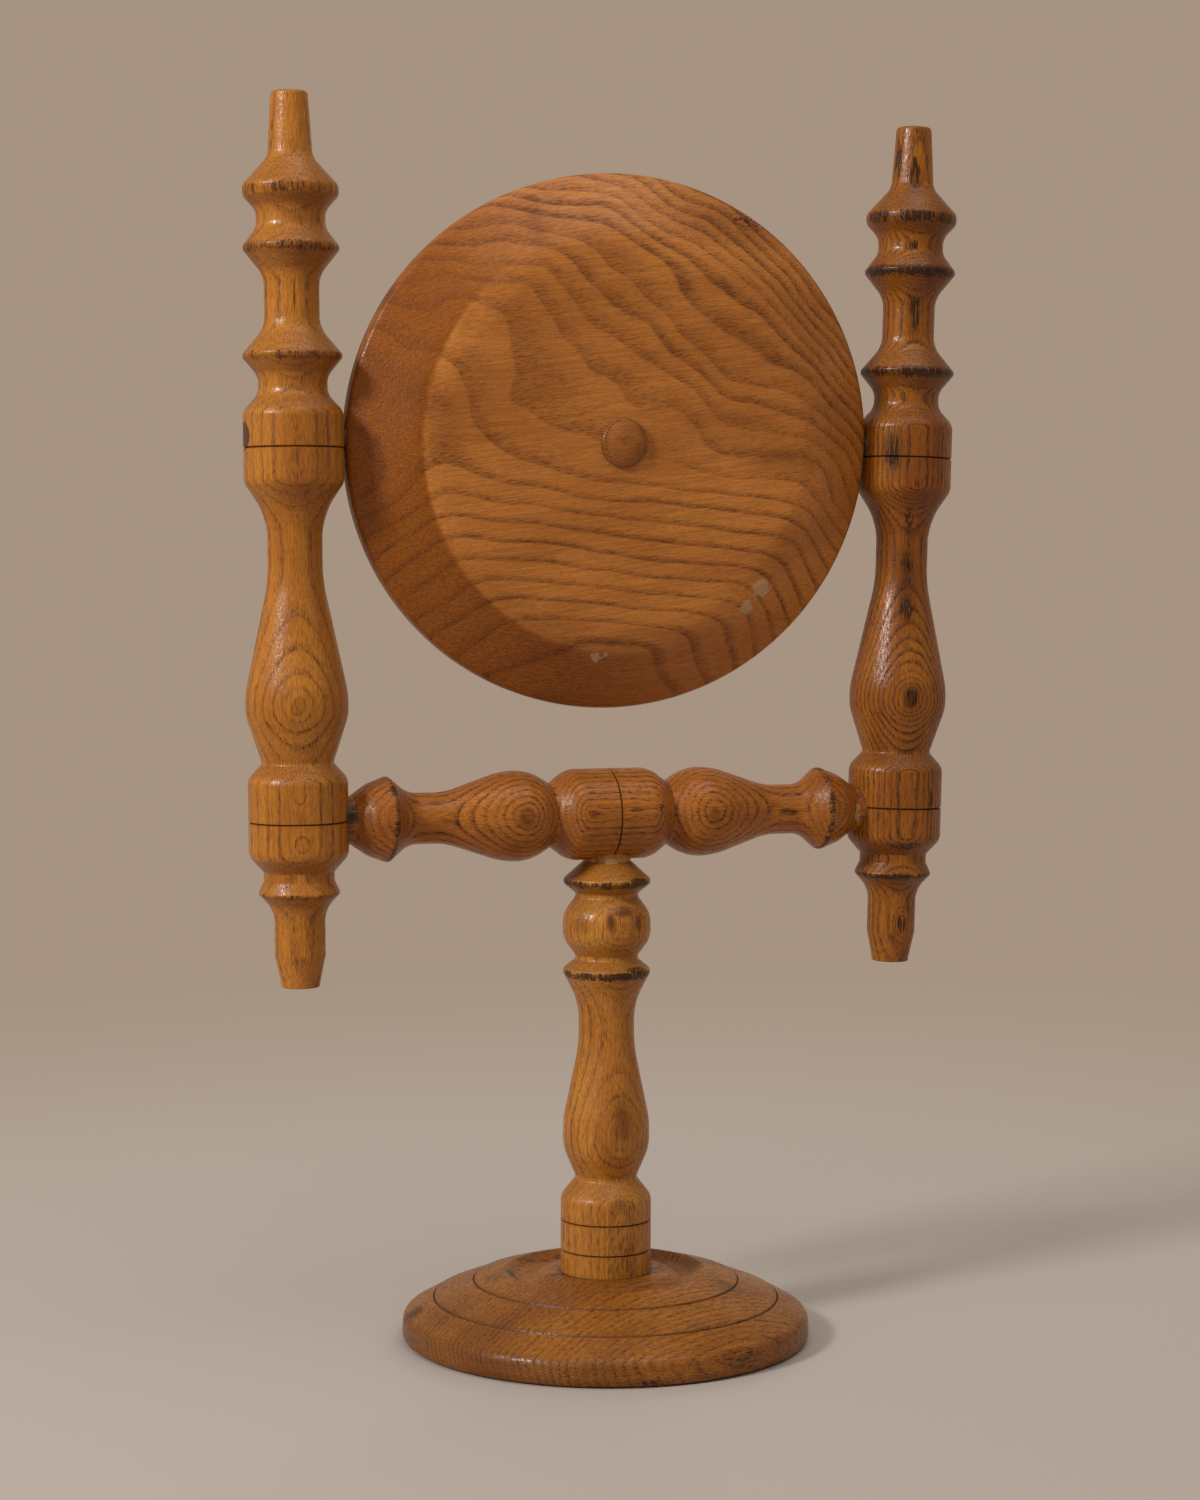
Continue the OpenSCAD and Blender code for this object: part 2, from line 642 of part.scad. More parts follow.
module post(side) {
    color(oak_dark) difference() {
        on_post(side) turned(post_marks());
        on_rail() mirror([0, 0, side < 0 ? 1 : 0])
            rod(tenon_r + glue_gap, 0, rail_shoulder_x + rail_tenon_len + glue_gap);
        on_pivot(side) {
            rod(friction_washer_r + glue_gap, 0, washer_seat);
            rod(shank_r + running_gap, 0, barrel_out);
            rod(pellet_r + glue_gap, head_seat, barrel_out + past);
        }
    }
}

// Mirror disc: a thin rounded rim, a sloping back with a nearly flat crown, and in front a border
// with a scribed line round the glass's rebate. The wood has shrunk across its grain, so the oval
// is what two round blanks share that stand a little apart.
border_line_r = (rebate_r + mirror_r - rim_slope - shrink) / 2;
function blank_marks() = [
    [mirror_r - rim_slope, front_y, waist_round],
    [mirror_r, -rim_front, rim_round],
    [mirror_r, rim_back, rim_round],
    [crown_r, back_depth - crown_rise, belly_round],
    [button_r, back_depth, 0]];
function rebate_marks() = [
    [rebate_r, floor_y, 0],
    [rebate_r, lip_y, groove_d / 2],
    [border_line_r - groove_w / 2, front_y + groove_d / 4, 0],
    [border_line_r, front_y + groove_d, 0],
    [border_line_r + groove_w / 2, front_y, 0],
    [border_line_r + groove_w / 2, front_y - past, 0]];

module shifted_blank(way) {
    rotate([0, 0, grain_turn]) translate([0, way * shrink, 0]) turned(blank_marks());
}

module mirror_disc() {
    color(oak) difference() {
        on_disc() difference() {
            intersection() {
                shifted_blank(-1);
                shifted_blank(1);
            }
            turned(rebate_marks());
            at_button() rod(peg_r + glue_gap, -peg_len - glue_gap, past);
        }
        for (side = [-1, 1]) on_pivot(side)
            rod(thread_r + glue_gap, pivot_reach - thread_len - glue_gap, pivot_reach + past);
        each_brad() rod(brad_r + glue_gap, rebate_r - past, rebate_r + brad_grip + glue_gap);
    }
}

module at_button() {
    translate([button_off, 0, back_depth]) children();
}

function button_marks() = [
    [button_r, glue_gap, 0],
    [button_r, button_h / 3, waist_round],
    [0.6 * button_r, 0.85 * button_h, ball_round],
    [0.2 * button_r, button_h, ball_round]];

module back_button() {
    color(oak) on_disc() at_button() {
        turned(button_marks());
        rod(peg_r, -peg_len, glue_gap + bite);
    }
}

module backing_card() {
    color("#6e5a41") on_disc() rod(card_r, glass_back_y + glue_gap, floor_y - glue_gap);
}

module mirror_glass() {
    glass_face_y = glass_back_y - glass_t;
    color("#c9d3d8") on_disc() turned([
        [card_r - glass_arris, glass_face_y, 0],
        [card_r, glass_face_y + glass_arris, 0],
        [card_r, glass_back_y, 0]]);
}

// Bead in front of the glass: straight where the brads go in, then sloping to a rounded top
ring_inner_r = rebate_r - ring_w;
ring_straight = 0.65 * ring_t;
function ring_marks() = [
    [rebate_r - glue_gap, ring_back_y, 0],
    [ring_inner_r, ring_back_y, 0],
    [ring_inner_r, ring_back_y - ring_straight, groove_d / 2],
    [rebate_r - ring_w / 2, ring_face_y, waist_round],
    [rebate_r - glue_gap, ring_face_y, 0]];

module retaining_ring() {
    color(oak) difference() {
        on_disc() rotate_extrude() polygon(outline(ring_marks()));
        each_brad() rod(brad_r + glue_gap, ring_inner_r - past, rebate_r + past);
    }
}

// Brads: driven outwards through the bead into the disc, heads against the bead's inner face
brad_head_r = 1.5 * brad_r;
module each_brad() {
    on_disc() for (k = [0:brad_count - 1])
        rotate([0, 0, (k + 0.5) * 360 / brad_count])
            translate([0, 0, ring_back_y - ring_straight / 2]) rotate([0, 90, 0]) children();
}

module ring_brads() {
    color(brass) each_brad() {
        rod(brad_head_r, ring_inner_r - glue_gap - brad_r, ring_inner_r - glue_gap);
        rod(brad_r, ring_inner_r - glue_gap - bite, rebate_r + brad_grip);
    }
}

// Pivot screws: thread in the disc's edge, plain shank in the barrel, domed and slotted head
module pivot_screw(side) {
    color(steel) on_pivot(side) difference() {
        union() {
            translate([0, 0, pivot_reach - thread_len]) screw_thread(thread_r, thread_len);
            rod(thread_r / 2, pivot_reach - past, pivot_reach + past);
            rod(shank_r, pivot_reach + face_gap, head_in + bite);
            translate([0, 0, head_in]) turned([
                [head_r, 0, 0],
                [head_r, head_h / 3, waist_round],
                [head_r / 2, head_h, waist_round]]);
        }
        translate([-slot_w / 2, -head_r, head_in + head_h - slot_d]) cube([slot_w, 2 * head_r, slot_d + past]);
    }
}

module head_washer(side) {
    color(brass) on_pivot(side)
        washer(pellet_r - glue_gap, shank_r + face_gap, head_seat, head_seat + head_washer_t);
}

module friction_washer(side) {
    color(leather) on_pivot(side)
        washer(friction_washer_r, shank_r + face_gap, pivot_reach + face_gap, washer_seat);
}

// Pellets: glued over the screw heads and cut flush with the round barrel
module pellet(side) {
    color(oak_dark) intersection() {
        on_pivot(side) rod(pellet_r, pellet_in, barrel_out + past);
        on_post(side) turned(post_marks());
    }
}

module left_post() { post(-1); }
module right_post() { post(1); }
module left_pivot_screw() { pivot_screw(-1); }
module right_pivot_screw() { pivot_screw(1); }
module left_head_washer() { head_washer(-1); }
module right_head_washer() { head_washer(1); }
module left_friction_washer() { friction_washer(-1); }
module right_friction_washer() { friction_washer(1); }
module left_pellet() { pellet(-1); }
module right_pellet() { pellet(1); }

base();
base_felt();
base_screw();
stem();
crossbar();
left_post();
right_post();
mirror_disc();
back_button();
backing_card();
mirror_glass();
retaining_ring();
ring_brads();
left_pivot_screw();
right_pivot_screw();
left_head_washer();
right_head_washer();
left_friction_washer();
right_friction_washer();
left_pellet();
right_pellet();
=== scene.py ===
# %% [markdown]
# # A swivel dressing mirror in turned wood
#
# The real mirror is a set of spindles and two discs. Each one is turned on a lathe, the parts are
# glued with round tenons, and the disc swings between the posts on two screws. So nearly every
# shape is a solid of revolution: an outline, spun once round its axis. It could be modelled from
# cylinders and edge loops as well, but an outline keeps every bead where the turner's marks put it.

# %% The fixed frame
import json
import math
from types import SimpleNamespace

import bmesh
import bpy
from mathutils import Matrix, Vector


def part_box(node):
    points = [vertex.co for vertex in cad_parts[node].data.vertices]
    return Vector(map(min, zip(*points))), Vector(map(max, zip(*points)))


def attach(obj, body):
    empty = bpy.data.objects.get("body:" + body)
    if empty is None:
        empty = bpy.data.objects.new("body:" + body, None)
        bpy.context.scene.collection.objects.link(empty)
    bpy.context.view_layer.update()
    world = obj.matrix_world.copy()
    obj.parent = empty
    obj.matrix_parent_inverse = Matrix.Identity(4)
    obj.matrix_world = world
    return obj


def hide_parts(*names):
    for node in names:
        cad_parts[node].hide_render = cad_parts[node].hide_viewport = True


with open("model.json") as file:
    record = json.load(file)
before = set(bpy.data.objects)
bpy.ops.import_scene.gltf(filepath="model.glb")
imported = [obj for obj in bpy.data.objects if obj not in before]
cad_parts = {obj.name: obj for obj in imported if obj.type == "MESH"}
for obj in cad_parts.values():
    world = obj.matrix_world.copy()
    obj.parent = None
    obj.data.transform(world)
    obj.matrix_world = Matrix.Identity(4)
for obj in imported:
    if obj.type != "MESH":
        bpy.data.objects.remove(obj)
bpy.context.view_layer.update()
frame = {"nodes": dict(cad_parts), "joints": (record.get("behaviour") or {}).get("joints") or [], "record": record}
nodes = frame["nodes"]

# %% [markdown]
# ## Sizes that the frame gives
#
# A maker's drawing is in millimetres and Blender's scene is in metres, so shapes are drawn in
# millimetres and one factor brings them into place. What can be measured on the fixed parts is
# measured there, so the looks follow the construction.

# %% Main sizes in millimetres
MM = 0.001


def box_size(node):
    low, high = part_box(node)
    return (high - low) / MM


def box_middle(node):
    low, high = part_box(node)
    return (high + low) / 2 / MM


base_r = box_size("base").x / 2
disc_x = box_middle("mirror_glass").x
rail_z = box_middle("crossbar").z
pivot_z = frame["joints"][0]["pos_m"][2] / MM
print("base radius", round(base_r, 2), "crossbar at", round(rail_z, 2), "pivot at", round(pivot_z, 2))

# %% Places: the axes that the pieces are turned round
mirror_r = 103.6
shrink = 3.9
grain_turn = math.radians(7)
disc_lean = math.radians(2.9)
side_gap = 0.85
barrel_r = 18.2
lean = {-1: math.radians(1.3), 1: math.radians(0.6)}


def barrel_reach(side):
    return (pivot_z - rail_z) * math.tan(lean[side]) - barrel_r / math.cos(lean[side])


across = shrink * math.cos(grain_turn)
pivot_reach = math.sqrt(mirror_r ** 2 - across ** 2) - shrink * math.sin(grain_turn)
barrel_in = pivot_reach + side_gap
post_x = barrel_in - (barrel_reach(-1) + barrel_reach(1)) / 2
upright = Matrix.Identity(4)
on_rail = Matrix.Translation((0, 0, rail_z)) @ Matrix.Rotation(math.pi / 2, 4, "Y")
on_disc = Matrix.Translation((disc_x, 0, pivot_z)) @ Matrix.Rotation(-math.pi / 2 - disc_lean, 4, "X")
on_post = {
    side: Matrix.Translation((side * post_x, 0, rail_z)) @ Matrix.Rotation(side * lean[side], 4, "Y")
    for side in (-1, 1)}
on_pivot = {
    side: Matrix.Translation((disc_x, 0, pivot_z)) @ Matrix.Rotation(side * math.pi / 2, 4, "Y")
    for side in (-1, 1)}
print("posts at x", round(post_x, 2), "and the disc's pivots at", round(pivot_reach, 2))

# %% [markdown]
# ## Turning a piece
#
# A turner works with beads, coves and barrels: each has a radius and a length, and a shoulder or a
# slope leads to the next. The same rows are used here. They give the corners of an outline, Bevel
# rounds each corner as the gouge did, and Spin turns the outline into a solid. An outline that
# starts and ends on the axis gives a full solid, and one that comes back to its start gives a ring.

# %% Rows of turned elements
SHOULDER = 1.1
GROOVE_W = 0.8
GROOVE_D = 0.8


def run_after(row, index):
    """Length of the slope from an element to the next one."""
    if index + 1 == len(row):
        return 0
    run = row[index][3]
    return SHOULDER * abs(row[index + 1][0] - row[index][0]) if run is None else run


def row_length(row):
    return sum(element[1] + run_after(row, index) for index, element in enumerate(row))


def laid(row, place, way):
    """Marks (radius, place, rounding) of a row of elements (radius, length, rounding, run)."""
    marks = []
    for index, (radius, length, rounding, _) in enumerate(row):
        near, far = rounding if isinstance(rounding, tuple) else (rounding, rounding)
        marks.append((radius, place, near if index else 0))
        if length:
            marks.append((radius, place + way * length, far))
        place += way * (length + run_after(row, index))
    return marks


def groove(radius, place):
    return [(radius - GROOVE_D, place, 0)]


# %% Outline, spin and finish
ARC_TURN = math.radians(6)
ARC_LENGTH = 1.6
STRAIGHT_LENGTH = 2.4
SPIN_STEPS = 160
CREASE = math.radians(34)
DOUBLE = 0.002


def round_corner(bm, vert, before, here, after, radius):
    """Bevels a corner of the outline to an arc that both its sides have room for."""
    half = (before - here).angle(after - here) / 2
    side = min(radius / math.tan(half), 0.49 * (before - here).length, 0.49 * (after - here).length)
    turn = math.pi - 2 * half
    arc = side * math.tan(half) * turn
    steps = max(2, math.ceil(turn / ARC_TURN), math.ceil(arc / ARC_LENGTH))
    bmesh.ops.bevel(bm, geom=[vert], offset=side, offset_type="ABSOLUTE", affect="VERTICES",
                    segments=steps, profile=0.5, material=-1)


def outline(marks, ring):
    """A chain of edges through marks (radius, place, rounding), closed if the piece is a ring."""
    bm = bmesh.new()
    points = [Vector((radius, 0, place)) for radius, place, _ in marks]
    verts = [bm.verts.new(point) for point in points]
    for index in range(0 if ring else 1, len(verts)):
        bm.edges.new((verts[index - 1], verts[index]))
    for index in range(1, len(marks) - 1):
        if marks[index][2]:
            round_corner(bm, verts[index], points[index - 1], points[index], points[index + 1],
                         marks[index][2])
    for edge in bm.edges[:]:
        cuts = int(edge.calc_length() / STRAIGHT_LENGTH)
        if cuts:
            bmesh.ops.bisect_edges(bm, edges=[edge], cuts=cuts)
    return bm


def in_scene(name, data):
    """A new object that shows the data, linked to the scene."""
    made = bpy.data.objects.new(name, data)
    bpy.context.scene.collection.objects.link(made)
    return made


def finish_piece(bm, name, place):
    """Moves a mesh in millimetres to its place in metres and makes it an object at the origin."""
    bmesh.ops.remove_doubles(bm, verts=bm.verts[:], dist=DOUBLE)
    bmesh.ops.transform(bm, matrix=Matrix.Scale(MM, 4) @ place, verts=bm.verts[:])
    bmesh.ops.recalc_face_normals(bm, faces=bm.faces[:])
    mesh = bpy.data.meshes.new(name)
    bm.to_mesh(mesh)
    bm.free()
    return in_scene(name, mesh)


def turned(name, marks, place, ring=False, steps=SPIN_STEPS):
    bm = outline(marks, ring)
    bmesh.ops.spin(bm, geom=bm.verts[:] + bm.edges[:], cent=(0, 0, 0), axis=(0, 0, 1),
                   dvec=(0, 0, 0), angle=2 * math.pi, steps=steps, use_merge=True)
    return finish_piece(bm, name, place)


def on_axis(marks):
    """Closes an outline to the axis at both ends."""
    return [(0, marks[0][1], 0)] + marks + [(0, marks[-1][1], 0)]


def show_made(*pieces):
    for piece in pieces:
        print("made", piece.name, "with", len(piece.data.polygons), "faces")


# %% Joints: cutting a bore and adding a tenon
def carve(piece, tool, operation="DIFFERENCE"):
    """Cuts the tool out of the piece, or joins it on, and removes the tool."""
    cut = piece.modifiers.new("joint", "BOOLEAN")
    cut.object = tool
    cut.operation = operation
    cut.solver = "MANIFOLD"
    old = piece.data
    shown = piece.evaluated_get(bpy.context.evaluated_depsgraph_get())
    piece.data = bpy.data.meshes.new_from_object(shown)
    piece.data.name = piece.name
    piece.modifiers.clear()
    bpy.data.meshes.remove(old)
    bpy.data.objects.remove(tool)


def rod(radius, start, end, place, steps=96):
    return turned("tool", on_axis([(radius, start, 0), (radius, end, 0)]), place, steps=steps)


def smooth_but_crisp(piece):
    """Shades the surface smooth and keeps the edges of grooves and bores sharp."""
    bm = bmesh.new()
    bm.from_mesh(piece.data)
    bmesh.ops.remove_doubles(bm, verts=bm.verts[:], dist=DOUBLE * MM)
    for face in bm.faces:
        face.smooth = True
    for edge in bm.edges:
        edge.smooth = edge.is_manifold and edge.calc_face_angle(math.pi) < CREASE
    open_edges = sum(not edge.is_manifold for edge in bm.edges)
    triangles = sum(len(face.verts) - 2 for face in bm.faces)
    bm.to_mesh(piece.data)
    bm.free()
    print(piece.name, triangles, "triangles,", open_edges, "open edges")


# %% [markdown]
# ## The base
#
# The base is turned from one plank: a rounded edge, two bands parted by stepped grooves, a ridge,
# a dish and a raised land for the stem. It has a bore for the stem's tenon and one for the screw,
# and both lie on its axis, so the outline simply goes through them and closes to a ring.

# %% Base
GLUE_GAP = 0.05
past = 1
felt_t = 1.2
felt_proud = 0.5
felt_r = box_size("base_felt").x / 2
seat_z = 25.4
foot_r = 17.2
stem_tenon_r = 9.5
stem_tenon_len = 16.2
base_shank_r = 2.2
countersink_r = 4.4
countersink_h = 2.6
base_screw_z = felt_t + GLUE_GAP
outer_groove = (65.5, 16.2)
inner_groove = (50.4, 22.4)
dish_r = 38.5
dish_floor_z = 22.2
land_r = 24


def stepped_groove(radius, z):
    return [(radius + GROOVE_W / 2, z - GROOVE_D / 2, 0),
            (radius, z - GROOVE_D, 0),
            (radius - GROOVE_W / 2, z + GROOVE_D / 4, 0)]


base_marks = [
    (countersink_r + GLUE_GAP, felt_t, 0),
    (felt_r + GLUE_GAP, felt_t, 0),
    (felt_r + GLUE_GAP, felt_proud, 0),
    (base_r - 0.8, felt_proud, 1.4),
    (base_r, felt_proud + 2.6, 4),
    (base_r - 0.4, 9.6, 4),
    *stepped_groove(*outer_groove),
    *stepped_groove(*inner_groove),
    (dish_r, 25.8, 1.4),
    (dish_r - 4.5, dish_floor_z + GROOVE_D, 6),
    ((dish_r + land_r) / 2 - GROOVE_W, dish_floor_z, 6),
    (land_r, seat_z, 6),
    (foot_r, seat_z, 0),
    (stem_tenon_r + GLUE_GAP, seat_z, 0),
    (stem_tenon_r + GLUE_GAP, seat_z - stem_tenon_len - GLUE_GAP, 0),
    (base_shank_r + GLUE_GAP, seat_z - stem_tenon_len - GLUE_GAP, 0),
    (base_shank_r + GLUE_GAP, base_screw_z + countersink_h, 0),
    (countersink_r + GLUE_GAP, base_screw_z, 0)]
turned_base = turned("turned_base", base_marks, upright, ring=True, steps=256)
show_made(turned_base)

# %% [markdown]
# ## The stem
#
# One baluster: a bead, a ball, a bead, a slim neck, a vase and a straight foot with two scribed
# lines. Its top is scooped out to sit on the round crossbar. The scoop isn't a form that a lathe
# gives, so it is cut with a Boolean, as the maker cut it with a gouge, and the tenon is joined on.

# %% Stem
rail_r = 17.2
tenon_r = 6
top_tenon_len = 19
base_screw_len = 38
stem_top_z = rail_z - rail_r
foot_grooves = (seat_z + 8.5, seat_z + 19.9)


def stem_row(neck_len):
    return [
        (9, 0.6, 1.4, 6.7),
        (16.4, 1.8, 1, 3.7),
        (11.9, 1.4, 1.4, 6.5),
        (16.65, 9.2, 9, 6.5),
        (11.9, 1.4, 1.4, 3.7),
        (16.4, 1.8, 1, 11.5),
        (10.5, neck_len, (24, 50), 28.4),
        (16.4, 10.5, (28, 16), 10.7),
        (11.8, 1.2, 1.4, 6.8),
        (foot_r, seat_z + 28.9 - foot_grooves[1] - GROOVE_W / 2, (5, 0), None)]


stem_neck_len = stem_top_z - foot_grooves[1] - GROOVE_W / 2 - row_length(stem_row(0))
screw_hole = [
    (base_shank_r + GLUE_GAP, seat_z - stem_tenon_len, 0),
    (base_shank_r + GLUE_GAP, base_screw_z + base_screw_len + GLUE_GAP, 0),
    (0, base_screw_z + base_screw_len + GLUE_GAP, 0)]
stem_marks = [(0, rail_z, 0), (9, rail_z, 0)] + laid(stem_row(stem_neck_len), stem_top_z, -1)
for height in reversed(foot_grooves):
    stem_marks += groove(foot_r, height) + [(foot_r, height - GROOVE_W / 2, 0)]
    if height != foot_grooves[0]:
        stem_marks.append((foot_r, foot_grooves[0] + GROOVE_W / 2, 0))
stem_marks += [(foot_r, seat_z, 0), (stem_tenon_r, seat_z, 0), (stem_tenon_r, seat_z - stem_tenon_len, 0)]
turned_stem = turned("turned_stem", stem_marks + screw_hole, upright)
carve(turned_stem, rod(rail_r, -rail_r, rail_r, on_rail, steps=SPIN_STEPS))
carve(turned_stem, rod(tenon_r, stem_top_z - past, stem_top_z + top_tenon_len, upright), "UNION")
show_made(turned_stem)

# %% [markdown]
# ## The crossbar
#
# Half of it is laid out from its middle groove to a post, and the other half is its mirror image.
# Its slim necks take up what the other elements leave, as they did for the maker. Both ends are
# hollowed to sit on the round barrels of the posts, and a tenon stands out of each.

# %% Crossbar
rail_shoulder_x = post_x - barrel_r
rail_tenon_len = 22


def rail_row(neck_len):
    return [
        (rail_r, 15.9 - GROOVE_W / 2, 9, 7),
        (12.1, 0.8, 1.4, 8.4),
        (17, 9.8, (16, 28), 22.4),
        (9.5, neck_len, (24, 10), 7.8),
        (16, 0, 1.2, 7.2),
        (13.4, 0, 9, 6.5),
        (9, 1.3, (1.4, 0), None)]


rail_neck_len = rail_shoulder_x - GROOVE_W / 2 - row_length(rail_row(0))
half_rail = laid(rail_row(rail_neck_len), GROOVE_W / 2, 1) + [(9, post_x, 0)]
rail_marks = [(radius, -place, rounding) for radius, place, rounding in reversed(half_rail)]
rail_marks += groove(rail_r, 0) + half_rail
turned_crossbar = turned("turned_crossbar", on_axis(rail_marks), on_rail)
for side in (-1, 1):
    carve(turned_crossbar, rod(barrel_r, -12.5, 15.7, on_post[side], steps=SPIN_STEPS))
tenon_end = rail_shoulder_x + rail_tenon_len
carve(turned_crossbar, rod(tenon_r, -tenon_end, tenon_end, on_rail), "UNION")
carve(turned_crossbar, rod(tenon_r + GLUE_GAP, rail_z - 2 * rail_r,
                           stem_top_z + top_tenon_len + GLUE_GAP, upright))
show_made(turned_crossbar)

# %% [markdown]
# ## The posts
#
# Both posts come from one pattern, laid out from the groove of the upper barrel, where the pivot
# is, up to the finial and down to the drop. They lean outwards by about a degree, which the real
# ones do too. One stepped bore takes the washer, the screw's shank and, from outside, its head.

# %% Posts
CREST_LEN = 1.4


def eased(rise, flat):
    """The slope beside a crisp bead, which takes what the bead's flat is short of."""
    return SHOULDER * rise + (flat - CREST_LEN) / 2


groove_rise = pivot_z - rail_z - 3.9
rise_row = [
    (barrel_r, 13.2 - GROOVE_W / 2, 5, None),
    (12.5, 6.2, 6, eased(5.5, 2.8)),
    (18, CREST_LEN, 1.2, eased(8, 2.8)),
    (10, 18.5, 10, eased(7.4, 3.6)),
    (17.4, CREST_LEN, 1.2, eased(4.9, 3.6)),
    (12.5, 6.2, 6, None),
    (17.4, 3.6, 3, None),
    (8.2, 0, 6, 23.4),
    (6.7, 0, 1.2, None)]
drop_row = [
    (barrel_r, 12.5 - GROOVE_W / 2, 5, None),
    (12.9, 3.3, 1.4, SHOULDER * 2.1 + 2.2),
    (15, 0, 1.2, None),
    (9.3, 16.6, (10, 4), 10.5),
    (7.1, 1.2, (4, 1.4), None)]


def body_row(neck_len):
    return [
        (barrel_r, 12.4 - GROOVE_W / 2, 5, 12.4),
        (10, neck_len, (24, 50), 41.1),
        (18.7, 7.8, (28, 16), 16.7),
        (13.2, 1, 1.4, None),
        (barrel_r, 15.7 - GROOVE_W / 2, (5, 0), None)]


# %% The post's outline, its bore and the posts
body_neck_len = groove_rise - GROOVE_W - row_length(body_row(0))
post_marks = list(reversed(laid(rise_row, groove_rise + GROOVE_W / 2, 1)))
post_marks += groove(barrel_r, groove_rise)
post_marks += laid(body_row(body_neck_len), groove_rise - GROOVE_W / 2, -1)
post_marks += groove(barrel_r, 0)
post_marks += laid(drop_row, -GROOVE_W / 2, -1)

shank_r = 2.4
washer_r = 4
pellet_r = 5
pellet_len = 5.4
head_t = 2.6
head_washer_t = 0.8
slack = 0.3
pellet_in = barrel_in + 2 * barrel_r - pellet_len
head_seat = pellet_in - slack - head_t - slack - head_washer_t
washer_seat = barrel_in + 0.1 + barrel_r - math.sqrt(barrel_r ** 2 - (washer_r + GLUE_GAP) ** 2)
pivot_bore = on_axis([
    (washer_r + GLUE_GAP, pivot_reach, 0),
    (washer_r + GLUE_GAP, washer_seat, 0),
    (shank_r + GLUE_GAP, washer_seat, 0),
    (shank_r + GLUE_GAP, head_seat, 0),
    (pellet_r + GLUE_GAP, head_seat, 0),
    (pellet_r + GLUE_GAP, barrel_in + 2 * barrel_r + past, 0)])
turned_posts = {}
for side, name in ((-1, "turned_left_post"), (1, "turned_right_post")):
    post = turned(name, on_axis(post_marks), on_post[side])
    tenon_bore = (0, rail_shoulder_x + rail_tenon_len + GLUE_GAP)
    carve(post, rod(tenon_r + GLUE_GAP, *sorted(side * end for end in tenon_bore), on_rail))
    carve(post, turned("tool", pivot_bore, on_pivot[side], steps=96))
    turned_posts[side] = post
show_made(*turned_posts.values())

# %% [markdown]
# ## The mirror disc and its button
#
# The disc is one turned blank: a nearly flat back that slopes to a thin rim, and in front a border
# round the rebate for the glass. It was turned round and is an oval now, because wood shrinks
# across its grain and hardly along it. So the blank is spun, pressed across its grain, and only
# then gets its rebate and its holes. The button hides where the blank was held on the lathe.

# %% Disc
border_w = 18
front_in = 7
card_t = 0.6
glass_t = 2.5
bead_t = 2.6
rebate_r = mirror_r - border_w
floor_y = -4.8
glass_back_y = floor_y - card_t - 2 * GLUE_GAP
ring_back_y = glass_back_y - glass_t - GLUE_GAP
ring_face_y = ring_back_y - bead_t
lip_y = ring_face_y - 0.5
front_y = lip_y - GROOVE_D
border_line_r = (rebate_r + mirror_r - front_in - shrink) / 2
back_depth = 18.5
crown_r = 76.5
button_off = 1.3
button_r = 9
peg_r = 5
peg_len = 8
thread_r = 2
thread_len = 22
blank_marks = [
    (mirror_r - front_in, front_y, 1.4),
    (mirror_r, -2.4, 2.6),
    (mirror_r, 3.6, 2.6),
    (crown_r, back_depth - 0.3, 28),
    (button_r, back_depth, 0)]
rebate_marks = [
    (rebate_r, floor_y, 0),
    (rebate_r, lip_y, 0.4),
    (border_line_r - GROOVE_W / 2, front_y + GROOVE_D / 4, 0),
    (border_line_r, front_y + GROOVE_D, 0),
    (border_line_r + GROOVE_W / 2, front_y, 0),
    (border_line_r + GROOVE_W / 2, front_y - past, 0)]
shrunk = Matrix.Rotation(grain_turn, 4, "Z") @ Matrix.Diagonal((1, 1 - shrink / mirror_r, 1, 1))
at_button = on_disc @ Matrix.Translation((button_off, 0, back_depth))
turned_disc = turned("turned_disc", on_axis(blank_marks), on_disc @ shrunk, steps=288)
carve(turned_disc, turned("tool", on_axis(rebate_marks), on_disc, steps=288))
carve(turned_disc, rod(peg_r + GLUE_GAP, -peg_len - GLUE_GAP, past, at_button))
for side in (-1, 1):
    carve(turned_disc, rod(thread_r + GLUE_GAP, pivot_reach - thread_len - GLUE_GAP, pivot_reach + past,
                           on_pivot[side], steps=48))
show_made(turned_disc)

# %% Button, and the bead that holds the glass
button_h = 3.4
button_marks = [
    (0, -peg_len, 0),
    (peg_r, -peg_len, 0.8),
    (peg_r, GLUE_GAP, 0),
    (button_r, GLUE_GAP, 0),
    (button_r, button_h / 3, 1.4),
    (0.6 * button_r, 0.85 * button_h, 9),
    (0.2 * button_r, button_h, 9),
    (0, button_h, 0)]
turned_button = turned("turned_button", button_marks, at_button, steps=96)

ring_inner_r = rebate_r - 3.5
bead_marks = [
    (rebate_r - GLUE_GAP, ring_back_y, 0),
    (ring_inner_r, ring_back_y, 0),
    (ring_inner_r, ring_back_y - 0.65 * bead_t, 0.4),
    ((ring_inner_r + rebate_r) / 2, ring_face_y, 1.4),
    (rebate_r - GLUE_GAP, ring_face_y, 0)]
turned_bead = turned("turned_bead", bead_marks, on_disc, ring=True, steps=288)
show_made(turned_button, turned_bead)

# %% Every turned piece with the solid it stands for, shaded smooth
replaced = {
    turned_base: "base", turned_stem: "stem", turned_crossbar: "crossbar",
    turned_posts[-1]: "left_post", turned_posts[1]: "right_post",
    turned_disc: "mirror_disc", turned_button: "back_button", turned_bead: "retaining_ring"}
for piece in replaced:
    smooth_but_crisp(piece)

